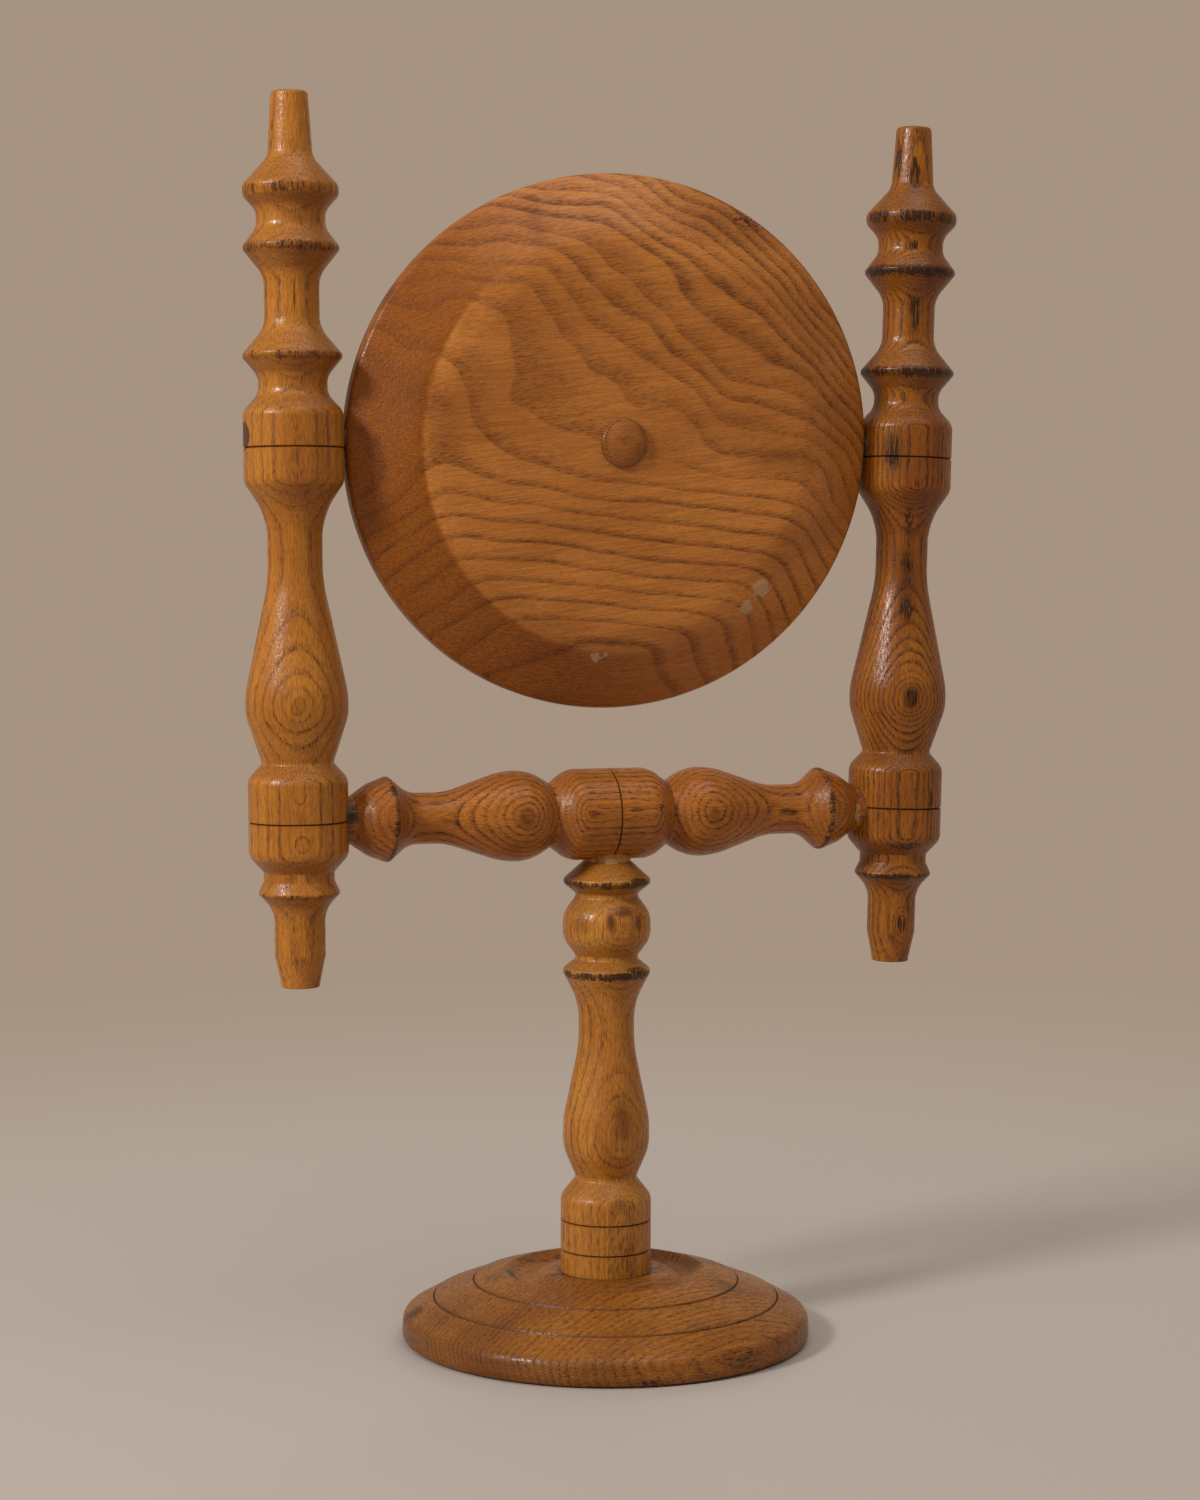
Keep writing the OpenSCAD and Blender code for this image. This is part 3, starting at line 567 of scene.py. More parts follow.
# %% [markdown]
# ## Traces of the lathe, and painted shade
#
# A turner's marks sit at known places: grooves, whose bottoms are darker, and the crests of beads, where
# friction scorched the wood almost black. Both are stored as a colour on the vertices, together with
# how far each spot shows end grain, where lacquer soaks in and the wood looks darker. The same colour
# carries painted light: a dark line round the stem's foot, partly dirt in the joint and partly painted
# contact shadow, and painted shade on the disc's slope, darkest low on its +X side. They could be
# painted by hand too, but the rows above already know where each crest and groove is.

# %% Marks on the vertices: red is scorched, green is a dark line (a groove's bottom, and the joint round the stem's foot, which is partly painted contact shadow), blue is end grain and the painted shade of the disc's slope
CREST_PEAK = 1.6
DARK_LINE_REACH = 0.12
# Painted shade on the disc's slope: how fast it sets in past the crown, its middle, least and share, and how it
# grows low and towards +X.
SLOPE_SHADE_RAMP = 3
SLOPE_SHADE_MIDDLE, SLOPE_SHADE_LEAST, SLOPE_SHADE_SHARE = 0.55, 0.1, 0.8
SLOPE_SHADE_LOW, SLOPE_SHADE_SIDE, SLOPE_SHADE_SPAN = 0.35, 0.9, 130


def middle_of(row, index, place, way):
    """Where the middle of an element lies along its axis."""
    before = sum(row[i][1] + run_after(row, i) for i in range(index))
    return place + way * (before + row[index][1] / 2)


def mark_turning(piece, place, grain, scorched=(), dark_lines=(), shade_from=1000):
    """Scorched crests are (place, half width), and dark lines are (radius, place) of their bottom: grooves, and
    the joint round the stem's foot, which is partly painted contact shadow.

    Beyond the shaded radius the surface gets painted shade, most of all low on the +X side.
    """
    to_axis = (Matrix.Scale(MM, 4) @ place).inverted()
    along = Vector(grain).normalized()
    bm = bmesh.new()
    bm.from_mesh(piece.data)
    bm.normal_update()
    layer = bm.verts.layers.float_color.new("turning")
    for vert in bm.verts:
        at = to_axis @ vert.co
        radius = math.hypot(at.x, at.y)
        burnt = max((1 - abs(at.z - crest) / half for crest, half in scorched), default=0)
        deep = any(math.hypot(radius - line_r, at.z - line_z) < DARK_LINE_REACH
                   for line_r, line_z in dark_lines)
        # Painted shade beyond the given radius, which only the disc and its bead reach: darkest low and towards
        # +X.
        slope_shade = SLOPE_SHADE_MIDDLE + (SLOPE_SHADE_SIDE * at.x + SLOPE_SHADE_LOW * at.y) / SLOPE_SHADE_SPAN
        slope_shade = min(max(slope_shade, SLOPE_SHADE_LEAST), 1) * min(max((radius - shade_from) / SLOPE_SHADE_RAMP, 0), 1)
        open_end_and_shade = max(abs(vert.normal.dot(along)), SLOPE_SHADE_SHARE * slope_shade)
        vert[layer] = (CREST_PEAK * max(burnt, 0), float(deep), open_end_and_shade, 1)
    bm.to_mesh(piece.data)
    bm.free()


# %% Where each piece has dark lines and scorch, and where shade is painted
rail_line = (rail_r - GROOVE_D, 0)
foot_lines = [(foot_r - GROOVE_D, height) for height in foot_grooves]
base_lines = [(radius, z - GROOVE_D) for radius, z in (outer_groove, inner_groove)]
post_lines = [(barrel_r - GROOVE_D, groove_rise), (barrel_r - GROOVE_D, 0)]
rail_crest = middle_of(rail_row(rail_neck_len), 4, GROOVE_W / 2, 1)
stem_crests = [middle_of(stem_row(stem_neck_len), index, stem_top_z, -1) for index in (1, 5)]
post_crests = [middle_of(rise_row, index, groove_rise + GROOVE_W / 2, 1) for index in (2, 4, 6)]
post_crests.append(middle_of(drop_row, 2, -GROOVE_W / 2, -1))
BASE_GRAIN = (0.94, 0.34, 0)
DISC_GRAIN = on_disc.to_3x3() @ Vector((math.cos(grain_turn), math.sin(grain_turn), 0))
# The line round the stem's foot is partly dirt in the joint and partly painted contact shadow.
mark_turning(turned_base, upright, BASE_GRAIN, dark_lines=base_lines + [(foot_r, seat_z)])
mark_turning(turned_stem, upright, (0, 0, 1), [(crest - 0.6, 2) for crest in stem_crests], foot_lines)
mark_turning(turned_crossbar, on_rail, (1, 0, 0), [(-rail_crest, 1.6), (rail_crest, 1.6)], [rail_line])
for side, post in turned_posts.items():
    mark_turning(post, on_post[side], on_post[side].to_3x3() @ Vector((0, 0, 1)),
                 [(crest - 0.4, 3.2 if crest > 0 else 1.6) for crest in post_crests], post_lines)
# The disc and its bead get painted shade beyond the crown.
for piece in (turned_disc, turned_button, turned_bead):
    mark_turning(piece, on_disc, DISC_GRAIN, dark_lines=[(border_line_r, front_y + GROOVE_D)],
                 shade_from=crown_r - 0.5)
print("bead crests on the posts at", [round(crest, 1) for crest in post_crests])

# %% [markdown]
# ## What each piece rides on
#
# Each turned piece takes the place of one solid of the fixed frame and moves with that solid's body:
# the disc with its bead and button swings, and everything else stands.

# %% Pieces join the frame
slots = {row["node"]: row["material_slot"] for row in frame["record"]["subparts"]}
body_of = {node: body for body, members in frame["record"]["behaviour"]["bodies"].items()
           for node in members}
for piece, node in replaced.items():
    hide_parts(node)
    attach(piece, body_of[node])
    print(piece.name, "stands for", node, "on", body_of[node])

# %% [markdown]
# ## Wood
#
# The wood is a ring-porous one, oak or chestnut, under a honey-coloured lacquer. A picture of wood
# could be laid on, but it would stretch over the beads and end at every edge. Real figure comes from
# inside: the tree's years are long cones round its pith, and the lathe cuts through them. So the
# material works on each point's place in millimetres. It measures the distance from a pith line
# outside the piece and counts years from it, and each year starts with a dark line of open pores
# that fades into smooth late wood. Vases then show nested ovals, barrels straight lines and necks
# pointed arches, all by themselves.

# %% Colours, and the one function that adds a node
def linear(hex_colour):
    """sRGB hex to linear RGBA."""
    channels = [int(hex_colour[i:i + 2], 16) / 255 for i in (1, 3, 5)]
    return (*[c / 12.92 if c <= 0.04045 else ((c + 0.055) / 1.055) ** 2.4 for c in channels], 1)


def fill(tree, node, inputs):
    """Sets or links inputs, given in order or by name. A node as input gives its first output."""
    for name, value in inputs.items() if isinstance(inputs, dict) else enumerate(inputs):
        if isinstance(value, bpy.types.Node):
            value = value.outputs[0]
        if isinstance(value, bpy.types.NodeSocket):
            tree.links.new(value, node.inputs[name])
        else:
            node.inputs[name].default_value = value


def add(tree, kind, inputs=(), operation=None, **settings):
    """Adds a node with its settings and inputs."""
    node = tree.nodes.new("ShaderNode" + kind)
    if operation:
        node.operation = operation
    for name, value in settings.items():
        setattr(node, name, value)
    fill(tree, node, inputs)
    return node


def new_material(name):
    material = bpy.data.materials.new(name)
    material.use_nodes = True
    tree = material.node_tree
    shader = tree.nodes["Principled BSDF"]
    return material, tree, shader


# %% Layers of colour
MIX_FACTOR, MIX_A, MIX_B, MIX_RESULT = 0, 6, 7, 2


def covered(tree, colour, layers):
    """Lays shades over a colour one after another, each (mask, strength, hex colour)."""
    for mask, strength, shade in layers:
        share = add(tree, "Math", [mask, strength], "MULTIPLY")
        colour = add(tree, "Mix", {MIX_FACTOR: share, MIX_A: colour, MIX_B: linear(shade)},
                     data_type="RGBA").outputs[MIX_RESULT]
    return colour


# %% Space: millimetres, and millimetres seen from the tree
def millimetres(tree):
    place = add(tree, "TexCoord").outputs["Object"]
    return add(tree, "VectorMath", {0: place, "Scale": 1 / MM}, "SCALE")


def tree_space(tree, mm, pith, grain, bark):
    """Z along the grain and Y from the pith towards the bark, with the pith as its origin."""
    along = Vector(grain).normalized()
    out = (Vector(bark) - along * along.dot(Vector(bark))).normalized()
    turn = Matrix((out.cross(along), out, along)).transposed().to_euler()
    return add(tree, "Mapping", {"Vector": mm, "Location": pith, "Rotation": turn}, vector_type="TEXTURE")


# %% Ranges: what lies between low and high becomes what lies between start and end
SMOOTH = {"interpolation_type": "SMOOTHSTEP"}
USUAL = (0.3, 0.7)  # nearly all noise lies between these


def span(low, high, start=0, end=1):
    return {"From Min": low, "From Max": high, "To Min": start, "To Max": end}


# %% Patterns of a real size
SPOT_CORE = 0.2


def mottled(tree, space, cell, detail=2, roughness=0.5):
    """Noise whose cells measure (across, across, along the grain) millimetres."""
    at = add(tree, "VectorMath", [space, [1 / side for side in cell]], "MULTIPLY")
    return add(tree, "TexNoise", {"Vector": at, "Scale": 1, "Detail": detail, "Roughness": roughness})


def spots(tree, mm, places):
    """The strongest of some oval spots, each (middle, half sizes, strength) in millimetres."""
    strongest = None
    for middle, half, strength in places:
        off = add(tree, "VectorMath", [mm, middle], "SUBTRACT")
        off = add(tree, "VectorMath", [off, [1 / side for side in half]], "MULTIPLY")
        far = add(tree, "VectorMath", [off], "LENGTH").outputs["Value"]
        spot = add(tree, "MapRange", {"Value": far, **span(SPOT_CORE, 1, strength, 0)}, **SMOOTH)
        if strongest is not None:
            spot = add(tree, "Math", [strongest, spot], "MAXIMUM")
        strongest = spot
    return strongest


# %% [markdown]
# ## Years
#
# A spindle is cut from a small square of the trunk, so its years are rings round one pith. The disc
# needs a wide board. Near the trunk's middle a board shows level, even years on one side and a
# slanting, spreading figure on the other, and that is how the real one looks. Rings round a pith
# could give it too, but two slopes that blend into each other are easier to set.

# %% Two ways to count the years at a point
LEVEL_YEAR = 6.2
SLANTED_YEAR = 14
YEARS_INTO_BACK = -0.2
LEVEL_BELOW = 12
SLANT = span(-15, 70, -0.09, -0.85)  # by the height in millimetres
UNREST = span(-25, 35, 0.9, 2.2)


def grown_rings(tree, wood, outside, width, law):
    """Counts years inwards from the outside: with law 0.5 the last years are the narrowest."""
    flat = add(tree, "VectorMath", [wood, (1, 1, 0)], "MULTIPLY")
    radius = add(tree, "VectorMath", [flat], "LENGTH").outputs["Value"]
    depth = add(tree, "Math", [outside, radius], "SUBTRACT")
    depth = add(tree, "Math", [depth, width], "DIVIDE")
    depth = add(tree, "Math", [depth, 0], "MAXIMUM")
    return add(tree, "Math", [depth, law], "POWER")


def board_years(tree, mm, height, wave):
    """Level even years below, which slant and spread apart above the disc's middle."""
    x, y, _ = add(tree, "SeparateXYZ", {"Vector": mm}).outputs
    slant = add(tree, "MapRange", {"Value": height, **SLANT}, **SMOOTH)
    slanted = add(tree, "Math", [x, slant, height], "MULTIPLY_ADD")
    above = add(tree, "Math", [slanted, 0], "MAXIMUM")
    below = add(tree, "Math", [slanted, 0], "MINIMUM")
    above = add(tree, "Math", [above, SLANTED_YEAR], "DIVIDE")
    below = add(tree, "Math", [below, LEVEL_YEAR], "DIVIDE")
    years = add(tree, "Math", [above, below], "ADD")
    unrest = add(tree, "MapRange", {"Value": height, **UNREST}, **SMOOTH)
    years = add(tree, "Math", [wave, unrest, years], "MULTIPLY_ADD")
    return add(tree, "Math", [y, YEARS_INTO_BACK, years], "MULTIPLY_ADD")


# %% Growth bends the years, and knots push them aside
WANDER_CELL = (34, 34, 60)
TREMBLE_CELL = (5, 5, 12)
TREMBLE = (0.5, 0.35, 0)
WAVE_CELL = (24, 24, 30)
DARK_SHARE = span(-20, 30, 0.36, 0.7)


def bent_by_growth(tree, wood, warp):
    """Shifts each point, widely as the trunk wandered and finely as its fibres do."""
    wander = mottled(tree, wood, WANDER_CELL).outputs["Color"]
    shift = add(tree, "VectorMath", [wander, (2 * warp[0], 2 * warp[1], 0), (-warp[0], -warp[1], 0)],
                "MULTIPLY_ADD")
    tremble = mottled(tree, wood, TREMBLE_CELL).outputs["Color"]
    shift = add(tree, "VectorMath", [tremble, TREMBLE, shift], "MULTIPLY_ADD")
    return add(tree, "VectorMath", [wood, shift], "ADD")


def board_rings(tree, mm, wood):
    """The disc's years and the dark share of each, which is wider above its middle."""
    wave = mottled(tree, wood, WAVE_CELL, detail=0.6).outputs["Color"]
    wave = add(tree, "SeparateXYZ", {"Vector": wave}).outputs[1]
    wave = add(tree, "Math", [wave, 0.5], "SUBTRACT")
    height = add(tree, "SeparateXYZ", {"Vector": mm}).outputs[2]
    height = add(tree, "Math", [height, pivot_z - LEVEL_BELOW], "SUBTRACT")
    fade = add(tree, "MapRange", {"Value": height, **DARK_SHARE}, **SMOOTH)
    return board_years(tree, mm, height, wave), fade


def with_knots(tree, mm, rings, knots):
    """Adds some years round each knot (middle, half sizes, years)."""
    for knot in knots:
        rings = add(tree, "Math", [rings, spots(tree, mm, [knot])], "ADD")
    return rings


# %% [markdown]
# ## Lines, pores and scorch
#
# What the eye reads as oak is the early wood of each year, a line of open vessels that the stain
# fills. The vessels are 0.2 to 0.3 mm wide. That is too fine to show, so they are drawn 0.55 mm
# wide. On end grain they are holes seen from above, and the lacquer sinks in and darkens it.

# %% Early wood and its vessels
PORE = "#24140a"
VESSEL_CELL = (0.55, 0.55, 3.2)
VESSEL_EDGE = span(0.46, 0.62)
END_AND_SHADE_PORES = 0.55
LAST_WOOD = span(0.9, 1)
STRONG_YEARS = span(0, 1, 0.55)
STRONG_PLACES = span(0.25, 0.7, 0.5, 1.1)


def early_wood(tree, rings, fade, patchy):
    """Dark where a year begins, and stronger in some years and some places than in others."""
    within = add(tree, "Math", [rings], "FRACT")
    year = add(tree, "Math", [rings], "FLOOR")
    chance = add(tree, "TexWhiteNoise", {"W": year}, noise_dimensions="1D")
    after = add(tree, "MapRange", {"Value": within, **span(0, fade, 1, 0)}, **SMOOTH)
    before = add(tree, "MapRange", {"Value": within, **LAST_WOOD}, **SMOOTH)
    early = add(tree, "Math", [after, before], "MAXIMUM")
    by_year = add(tree, "MapRange", {"Value": chance, **STRONG_YEARS}, **SMOOTH)
    by_place = add(tree, "MapRange", {"Value": patchy, **STRONG_PLACES}, **SMOOTH)
    early = add(tree, "Math", [early, by_year], "MULTIPLY")
    return add(tree, "Math", [early, by_place], "MULTIPLY")


def open_pores(tree, bent, early, end_grain_and_shade, all_over):
    """Vessels, dense in the early wood, on end grain and in the painted shade of the disc's slope, and sparse
    everywhere else.
    """
    vessels = mottled(tree, bent, VESSEL_CELL, roughness=0.6)
    vessels = add(tree, "MapRange", {"Value": vessels, **VESSEL_EDGE}, **SMOOTH)
    zone = add(tree, "Math", [early, 1 - all_over, all_over], "MULTIPLY_ADD")
    ends_and_shade = add(tree, "Math", [end_grain_and_shade, END_AND_SHADE_PORES], "MULTIPLY")
    zone = add(tree, "Math", [zone, ends_and_shade], "MAXIMUM")
    return add(tree, "Math", [vessels, zone], "MULTIPLY")


# %% Traces of use: scorch, stains and dried glue
DASH_CELL = (0.75, 0.75, 8)
STREAK_GAIN, STREAK_START = 4.4, -1.2
CREST_TOP = (1.15, 1.5)
UNEVEN = span(0.3, 0.62, 0.55, 1.25)
BURN_EDGE = span(0.35, 1.05)
BURN_COVER = 0.9
FLAKE_CELL = (3, 3, 3)
FLAKE_EDGE = span(0.4, 0.56)
GLUE, GLUE_COVER = "#c6ac88", 0.55


def scorched_wood(tree, mm, wood, crests, patchy, oak):
    """Scorch and stains broken into streaks along the grain, and a thin line on each crest."""
    line = add(tree, "MapRange", {"Value": crests, **span(*CREST_TOP, 0, oak.crest)}, **SMOOTH)
    uneven = add(tree, "MapRange", {"Value": patchy, **UNEVEN}, **SMOOTH)
    burnt = add(tree, "Math", [crests, 1], "MINIMUM")
    burnt = add(tree, "Math", [burnt, uneven], "MULTIPLY")
    if oak.stains:
        burnt = add(tree, "Math", [burnt, spots(tree, mm, oak.stains)], "MAXIMUM")
    dashes = mottled(tree, wood, DASH_CELL, detail=3, roughness=0.6)
    streaks = add(tree, "Math", [dashes, STREAK_GAIN * oak.scorch, STREAK_START * oak.scorch],
                  "MULTIPLY_ADD")
    burnt = add(tree, "Math", [burnt, streaks], "MULTIPLY")
    burnt = add(tree, "MapRange", {"Value": burnt, **BURN_EDGE}, **SMOOTH)
    return add(tree, "Math", [burnt, line], "MAXIMUM")


def flaked(tree, mm, worn):
    """Spots with a ragged edge, where glue has dried or lacquer has come off."""
    flakes = mottled(tree, mm, FLAKE_CELL, detail=3)
    flakes = add(tree, "Math", [flakes, 0.5], "SUBTRACT")
    bare = add(tree, "Math", [spots(tree, mm, worn), flakes], "ADD")
    return add(tree, "MapRange", {"Value": bare, **FLAKE_EDGE}, **SMOOTH)


# %% Lacquered surface
ORANGE_PEEL_CELL = (1.4, 1.4, 1.4)
RELIEF = 0.12
SATIN = span(0, 1, 0.2, 0.28)
PORE_ROUGHNESS = 0.3
LACQUER_GLINT = 0.28


def lacquer(tree, shader, mm, toned, pores, fibres):
    """A satin film that sinks into the pores and shows the fibres: it glints, but softly."""
    film = add(tree, "MapRange", {"Value": toned, **SATIN})
    rough = add(tree, "Math", [pores, PORE_ROUGHNESS, film], "MULTIPLY_ADD")
    height = add(tree, "Math", [fibres, pores], "SUBTRACT")
    height = add(tree, "Math", [height, mottled(tree, mm, ORANGE_PEEL_CELL)], "ADD")
    bump = add(tree, "Bump", {"Height": height, "Strength": 0.7, "Distance": RELIEF * MM})
    fill(tree, shader, {"Roughness": rough, "Normal": bump, "Specular IOR Level": LACQUER_GLINT})


# %% One oak, and what each piece may change
TONE_CELL = (20, 20, 70)
PATCH_CELL = (6, 6, 40)
FIBRE_CELL = (0.8, 0.8, 22)
END_AND_SHADE_RANGE = span(0.3, 0.8)
SHEEN = span(*USUAL, 0.84, 1.12)
OAK = {
    "outside": 0, "width": 1, "law": 1,      # years from the pith, their width in mm and its law
    "board": False, "warp": (1.5, 0.4),      # a wide board instead, and how far growth bends years
    "line": 0.6, "fade": 0.45,               # strength of the early wood and its share of a year
    "pore": 0.9, "all_over": 0.26,           # strength of the pores, and their share in late wood
    "across": 0.35,                          # strength that the lines keep on end grain
    "soaked": 0.35, "soak": None,            # how much end grain and the disc's painted slope shade darken, and to which colour
    "deep": PORE, "burn": PORE,              # colours of pores and scorch
    "scorch": 1, "crest": 0.5,               # strength of scorch, and of the line on a crest
    "knots": (), "stains": (), "tinted": (), "worn": ()}


def turned_wood(name, **own):
    """Turned and lacquered ring-porous wood: all lengths are in millimetres."""
    oak = SimpleNamespace(**{**OAK, **own})
    material, tree, shader = new_material(name)
    mm = millimetres(tree)
    wood = tree_space(tree, mm, oak.pith, oak.grain, oak.bark)
    bent = bent_by_growth(tree, wood, oak.warp)
    patchy = mottled(tree, wood, PATCH_CELL)
    fibres = mottled(tree, bent, FIBRE_CELL, detail=4, roughness=0.6)
    toned = add(tree, "MapRange", {"Value": mottled(tree, wood, TONE_CELL), **span(*USUAL)}, **SMOOTH)

    turning = add(tree, "Attribute", attribute_name="turning").outputs["Color"]
    crests, dark_lines, open_end_and_shade = add(tree, "SeparateColor", {"Color": turning}).outputs
    end_grain_and_shade = add(tree, "MapRange", {"Value": open_end_and_shade, **END_AND_SHADE_RANGE}, **SMOOTH)

    if oak.board:
        rings, fade = board_rings(tree, mm, wood)
    else:
        rings, fade = grown_rings(tree, bent, oak.outside, oak.width, oak.law), oak.fade
    early = early_wood(tree, with_knots(tree, mm, rings, oak.knots), fade, patchy)
    if not oak.board:
        left = add(tree, "MapRange", {"Value": end_grain_and_shade, **span(0, 1, 1, oak.across)}, **SMOOTH)
        early = add(tree, "Math", [early, left], "MULTIPLY")
    pores = open_pores(tree, bent, early, end_grain_and_shade, oak.all_over)

    layers = [(toned, 1, oak.mid)]
    if oak.tinted:
        layers.append((spots(tree, mm, oak.tinted), 1, oak.dark))
    # This layer darkens end grain where lacquer soaks in, and on the disc's slope it is painted shade.
    layers += [(end_grain_and_shade, oak.soaked, oak.soak or oak.dark), (early, oak.line, oak.dark),
               (pores, oak.pore, oak.deep),
               (scorched_wood(tree, mm, wood, crests, patchy, oak), BURN_COVER, oak.burn),
               # Groove bottoms, and the joint round the stem's foot, which is partly painted contact shadow.
               (dark_lines, BURN_COVER, PORE)]
    if oak.worn:
        layers.append((flaked(tree, mm, oak.worn), GLUE_COVER, GLUE))
    sheen = add(tree, "MapRange", {"Value": fibres, **SHEEN}, **SMOOTH)
    colour = add(tree, "VectorMath", {0: covered(tree, linear(oak.light), layers), "Scale": sheen},
                 "SCALE")
    fill(tree, shader, {"Base Color": colour})
    lacquer(tree, shader, mm, toned, pores, fibres)
    return material


# %% How a spindle sits in its tree
PITH_BEHIND = 45
UNDER_BARK = 0.2
wood_of = {}


def spindle(axis_at, bark, radius, spacing):
    """Lines about the spacing apart round the eyes on the side that faced the bark."""
    out = Vector(bark).normalized()
    return dict(pith=Vector(axis_at) - PITH_BEHIND * out, bark=out, law=0.5,
                outside=PITH_BEHIND + radius + UNDER_BARK, width=spacing ** 2 / (2 * radius))


# %% [markdown]
# ## Each piece's own wood
#
# No two pieces come from the same stick. The photograph shows where each one has its eyes, knots
# and dark stains, and these places are given in millimetres: a spot is (middle, half sizes,
# strength) and a knot is (middle, half sizes, years). Chance could scatter them too, but the dark
# eye on a vase is what tells one post from the other.

# %% Base: a plank with nearly straight years and two knots at its rim
wood_of[turned_base] = dict(
    pith=(36, -98, -30), grain=BASE_GRAIN, bark=(-0.34, 0.94, 0.3), outside=190, width=2.4,
    warp=(3, 3), light="#9c5e1d", mid="#854c15", dark="#4e280a", line=0.34, fade=0.6, pore=0.8,
    all_over=0.5, soaked=0.3, across=1.3, scorch=0.7,
    knots=[((73, -12, 11), (13, 14, 12), 4), ((60, -12, 18), (17, 12, 14), 3)],
    tinted=[((74, -12, 12), (8, 10, 7), 0.6), ((40, -4, 23), (10, 14, 4), 0.5),
            ((60, 18, 16), (26, 46, 16), 0.3), ((-36, 30, 22), (10, 10, 5), 0.4)],
    stains=[((36, -9, 24), (6, 11, 4), 1.2), ((73, -12, 13), (7, 8, 5), 1.2),
            ((12, 78, 2), (16, 5, 2.4), 1.1), ((19, 2, 25), (11, 5, 3), 1),
            ((-14, 62, 17), (9, 8, 3), 0.7)])

# %% Stem: light and fine, with an eye on its ball and dried glue at its top
wood_of[turned_stem] = dict(
    **spindle((0, 0, 0), (-0.05, 1, 0), 16.6, 3), grain=(0, 0, 1), light="#bd7c31", mid="#a86723",
    dark="#6a3c12", line=0.34, pore=0.7, all_over=0.45, deep="#47260d", scorch=1.15, crest=0.9,
    knots=[((-1.7, 16.6, 159.4), (5, 8, 5), 2)],
    tinted=[((-0.8, 16.4, 86), (5.5, 5, 13), 0.75), ((-1.7, 16, 164.2), (7, 6, 3), 1),
            ((4, 15.5, 160.5), (2.6, 5, 5.5), 1), ((-7.2, 14.5, 160), (2.4, 5, 5), 0.9),
            ((13, 9, 160), (5, 6, 7), 0.5), ((0.6, 17, 54), (5, 4, 6), 0.5)],
    stains=[((-8, 14, 175), (10, 6, 2.6), 1.1), ((-8, 14, 141.5), (10, 6, 2.6), 1.1)],
    worn=[((1, 10, 182.6), (9, 8, 2), 0.72)])

# %% Crossbar: closer years, with dark ends
wood_of[turned_crossbar] = dict(
    **spindle((0, 0, rail_z), (0, 1, 0.085), rail_r, 2.2), grain=(1, 0, 0), light="#b26b27",
    mid="#99561a", dark="#5a2c0b", line=0.6, fade=0.5, scorch=0.7, pore=0.85, all_over=0.35,
    tinted=[((37.6, 16.9, 201), (5, 4, 6), 0.5), ((-37.2, 17, 199.8), (4, 4, 5), 0.4),
            ((104, 9, 203), (6, 12, 12), 0.8), ((-104, 5, 206), (5, 12, 12), 0.5)],
    stains=[((-5.7, 17, 202.5), (5, 4, 2), 1), ((-16, 17, 203), (3, 4, 5), 1),
            ((37.6, 16.9, 201), (4, 4, 5), 0.7), ((103, 11, 204), (7, 10, 10), 1.2),
            ((-71, 10, 200.4), (8, 4, 5), 1)],
    worn=[((-100, 10, 199), (3, 8, 7), 0.66)])

# %% Left post: the darkest stick, with close years and many stains
wood_of[turned_posts[-1]] = dict(
    **spindle((-post_x, 0, rail_z), (0.151, 0.988, 0), 18.7, 1.75), grain=(-0.0227, 0, 1),
    light="#a1601c", mid="#864712", dark="#4a2407", line=0.72, fade=0.55, scorch=1.05, crest=0.7,
    all_over=0.35,
    knots=[((-118.9, 9, 154.6), (4, 6, 8), 3)],
    tinted=[((-118.1, 18.5, 243.6), (5, 4, 8), 0.7), ((-119, 12, 290), (7, 8, 22), 0.6),
            ((-122, 9, 392), (6, 6, 16), 0.5), ((-122, 8, 440), (5, 6, 12), 0.5),
            ((-112, 14, 338), (9, 8, 14), 0.4)],
    stains=[((-122.7, 7.5, 445), (3, 4, 12), 1.15), ((-118.2, 2, 451), (2, 4, 12), 1.1),
            ((-122, 9.8, 391), (4, 5, 12), 0.9), ((-119.4, 12.7, 308), (4, 5, 14), 1),
            ((-119.6, 12, 295), (5, 6, 9), 1), ((-118.4, 13.6, 279), (6, 6, 11), 0.95),
            ((-118.1, 18.5, 243.6), (4.2, 4, 7), 0.95), ((-118.9, 9, 154.6), (3, 4, 6), 1),
            ((-127, 16.7, 204), (2.5, 4, 7), 1), ((-120, 11.6, 417), (5, 4, 4), 0.9),
            ((-111, 14, 338), (6, 7, 12), 0.85), ((-117, 17, 185.5), (14, 8, 3), 0.8)])

# %% Right post: the lightest stick, with wide years
wood_of[turned_posts[1]] = dict(
    **spindle((post_x, 0, rail_z), (0.2, 0.98, 0), 18.7, 3.8), grain=(0.0105, 0, 1),
    light="#b8752a", mid="#a3611f", dark="#6b3a10", line=0.5, fade=0.36, pore=0.8, all_over=0.34,
    deep="#42220c", scorch=0.62, burn="#402008", crest=0.35,
    knots=[((123.7, 17.8, 212), (4, 6, 8), 1.5), ((123, 17.9, 193), (5, 6, 7), 1)],
    stains=[((123.4, 9.9, 389), (1, 4, 11), 1.3)])

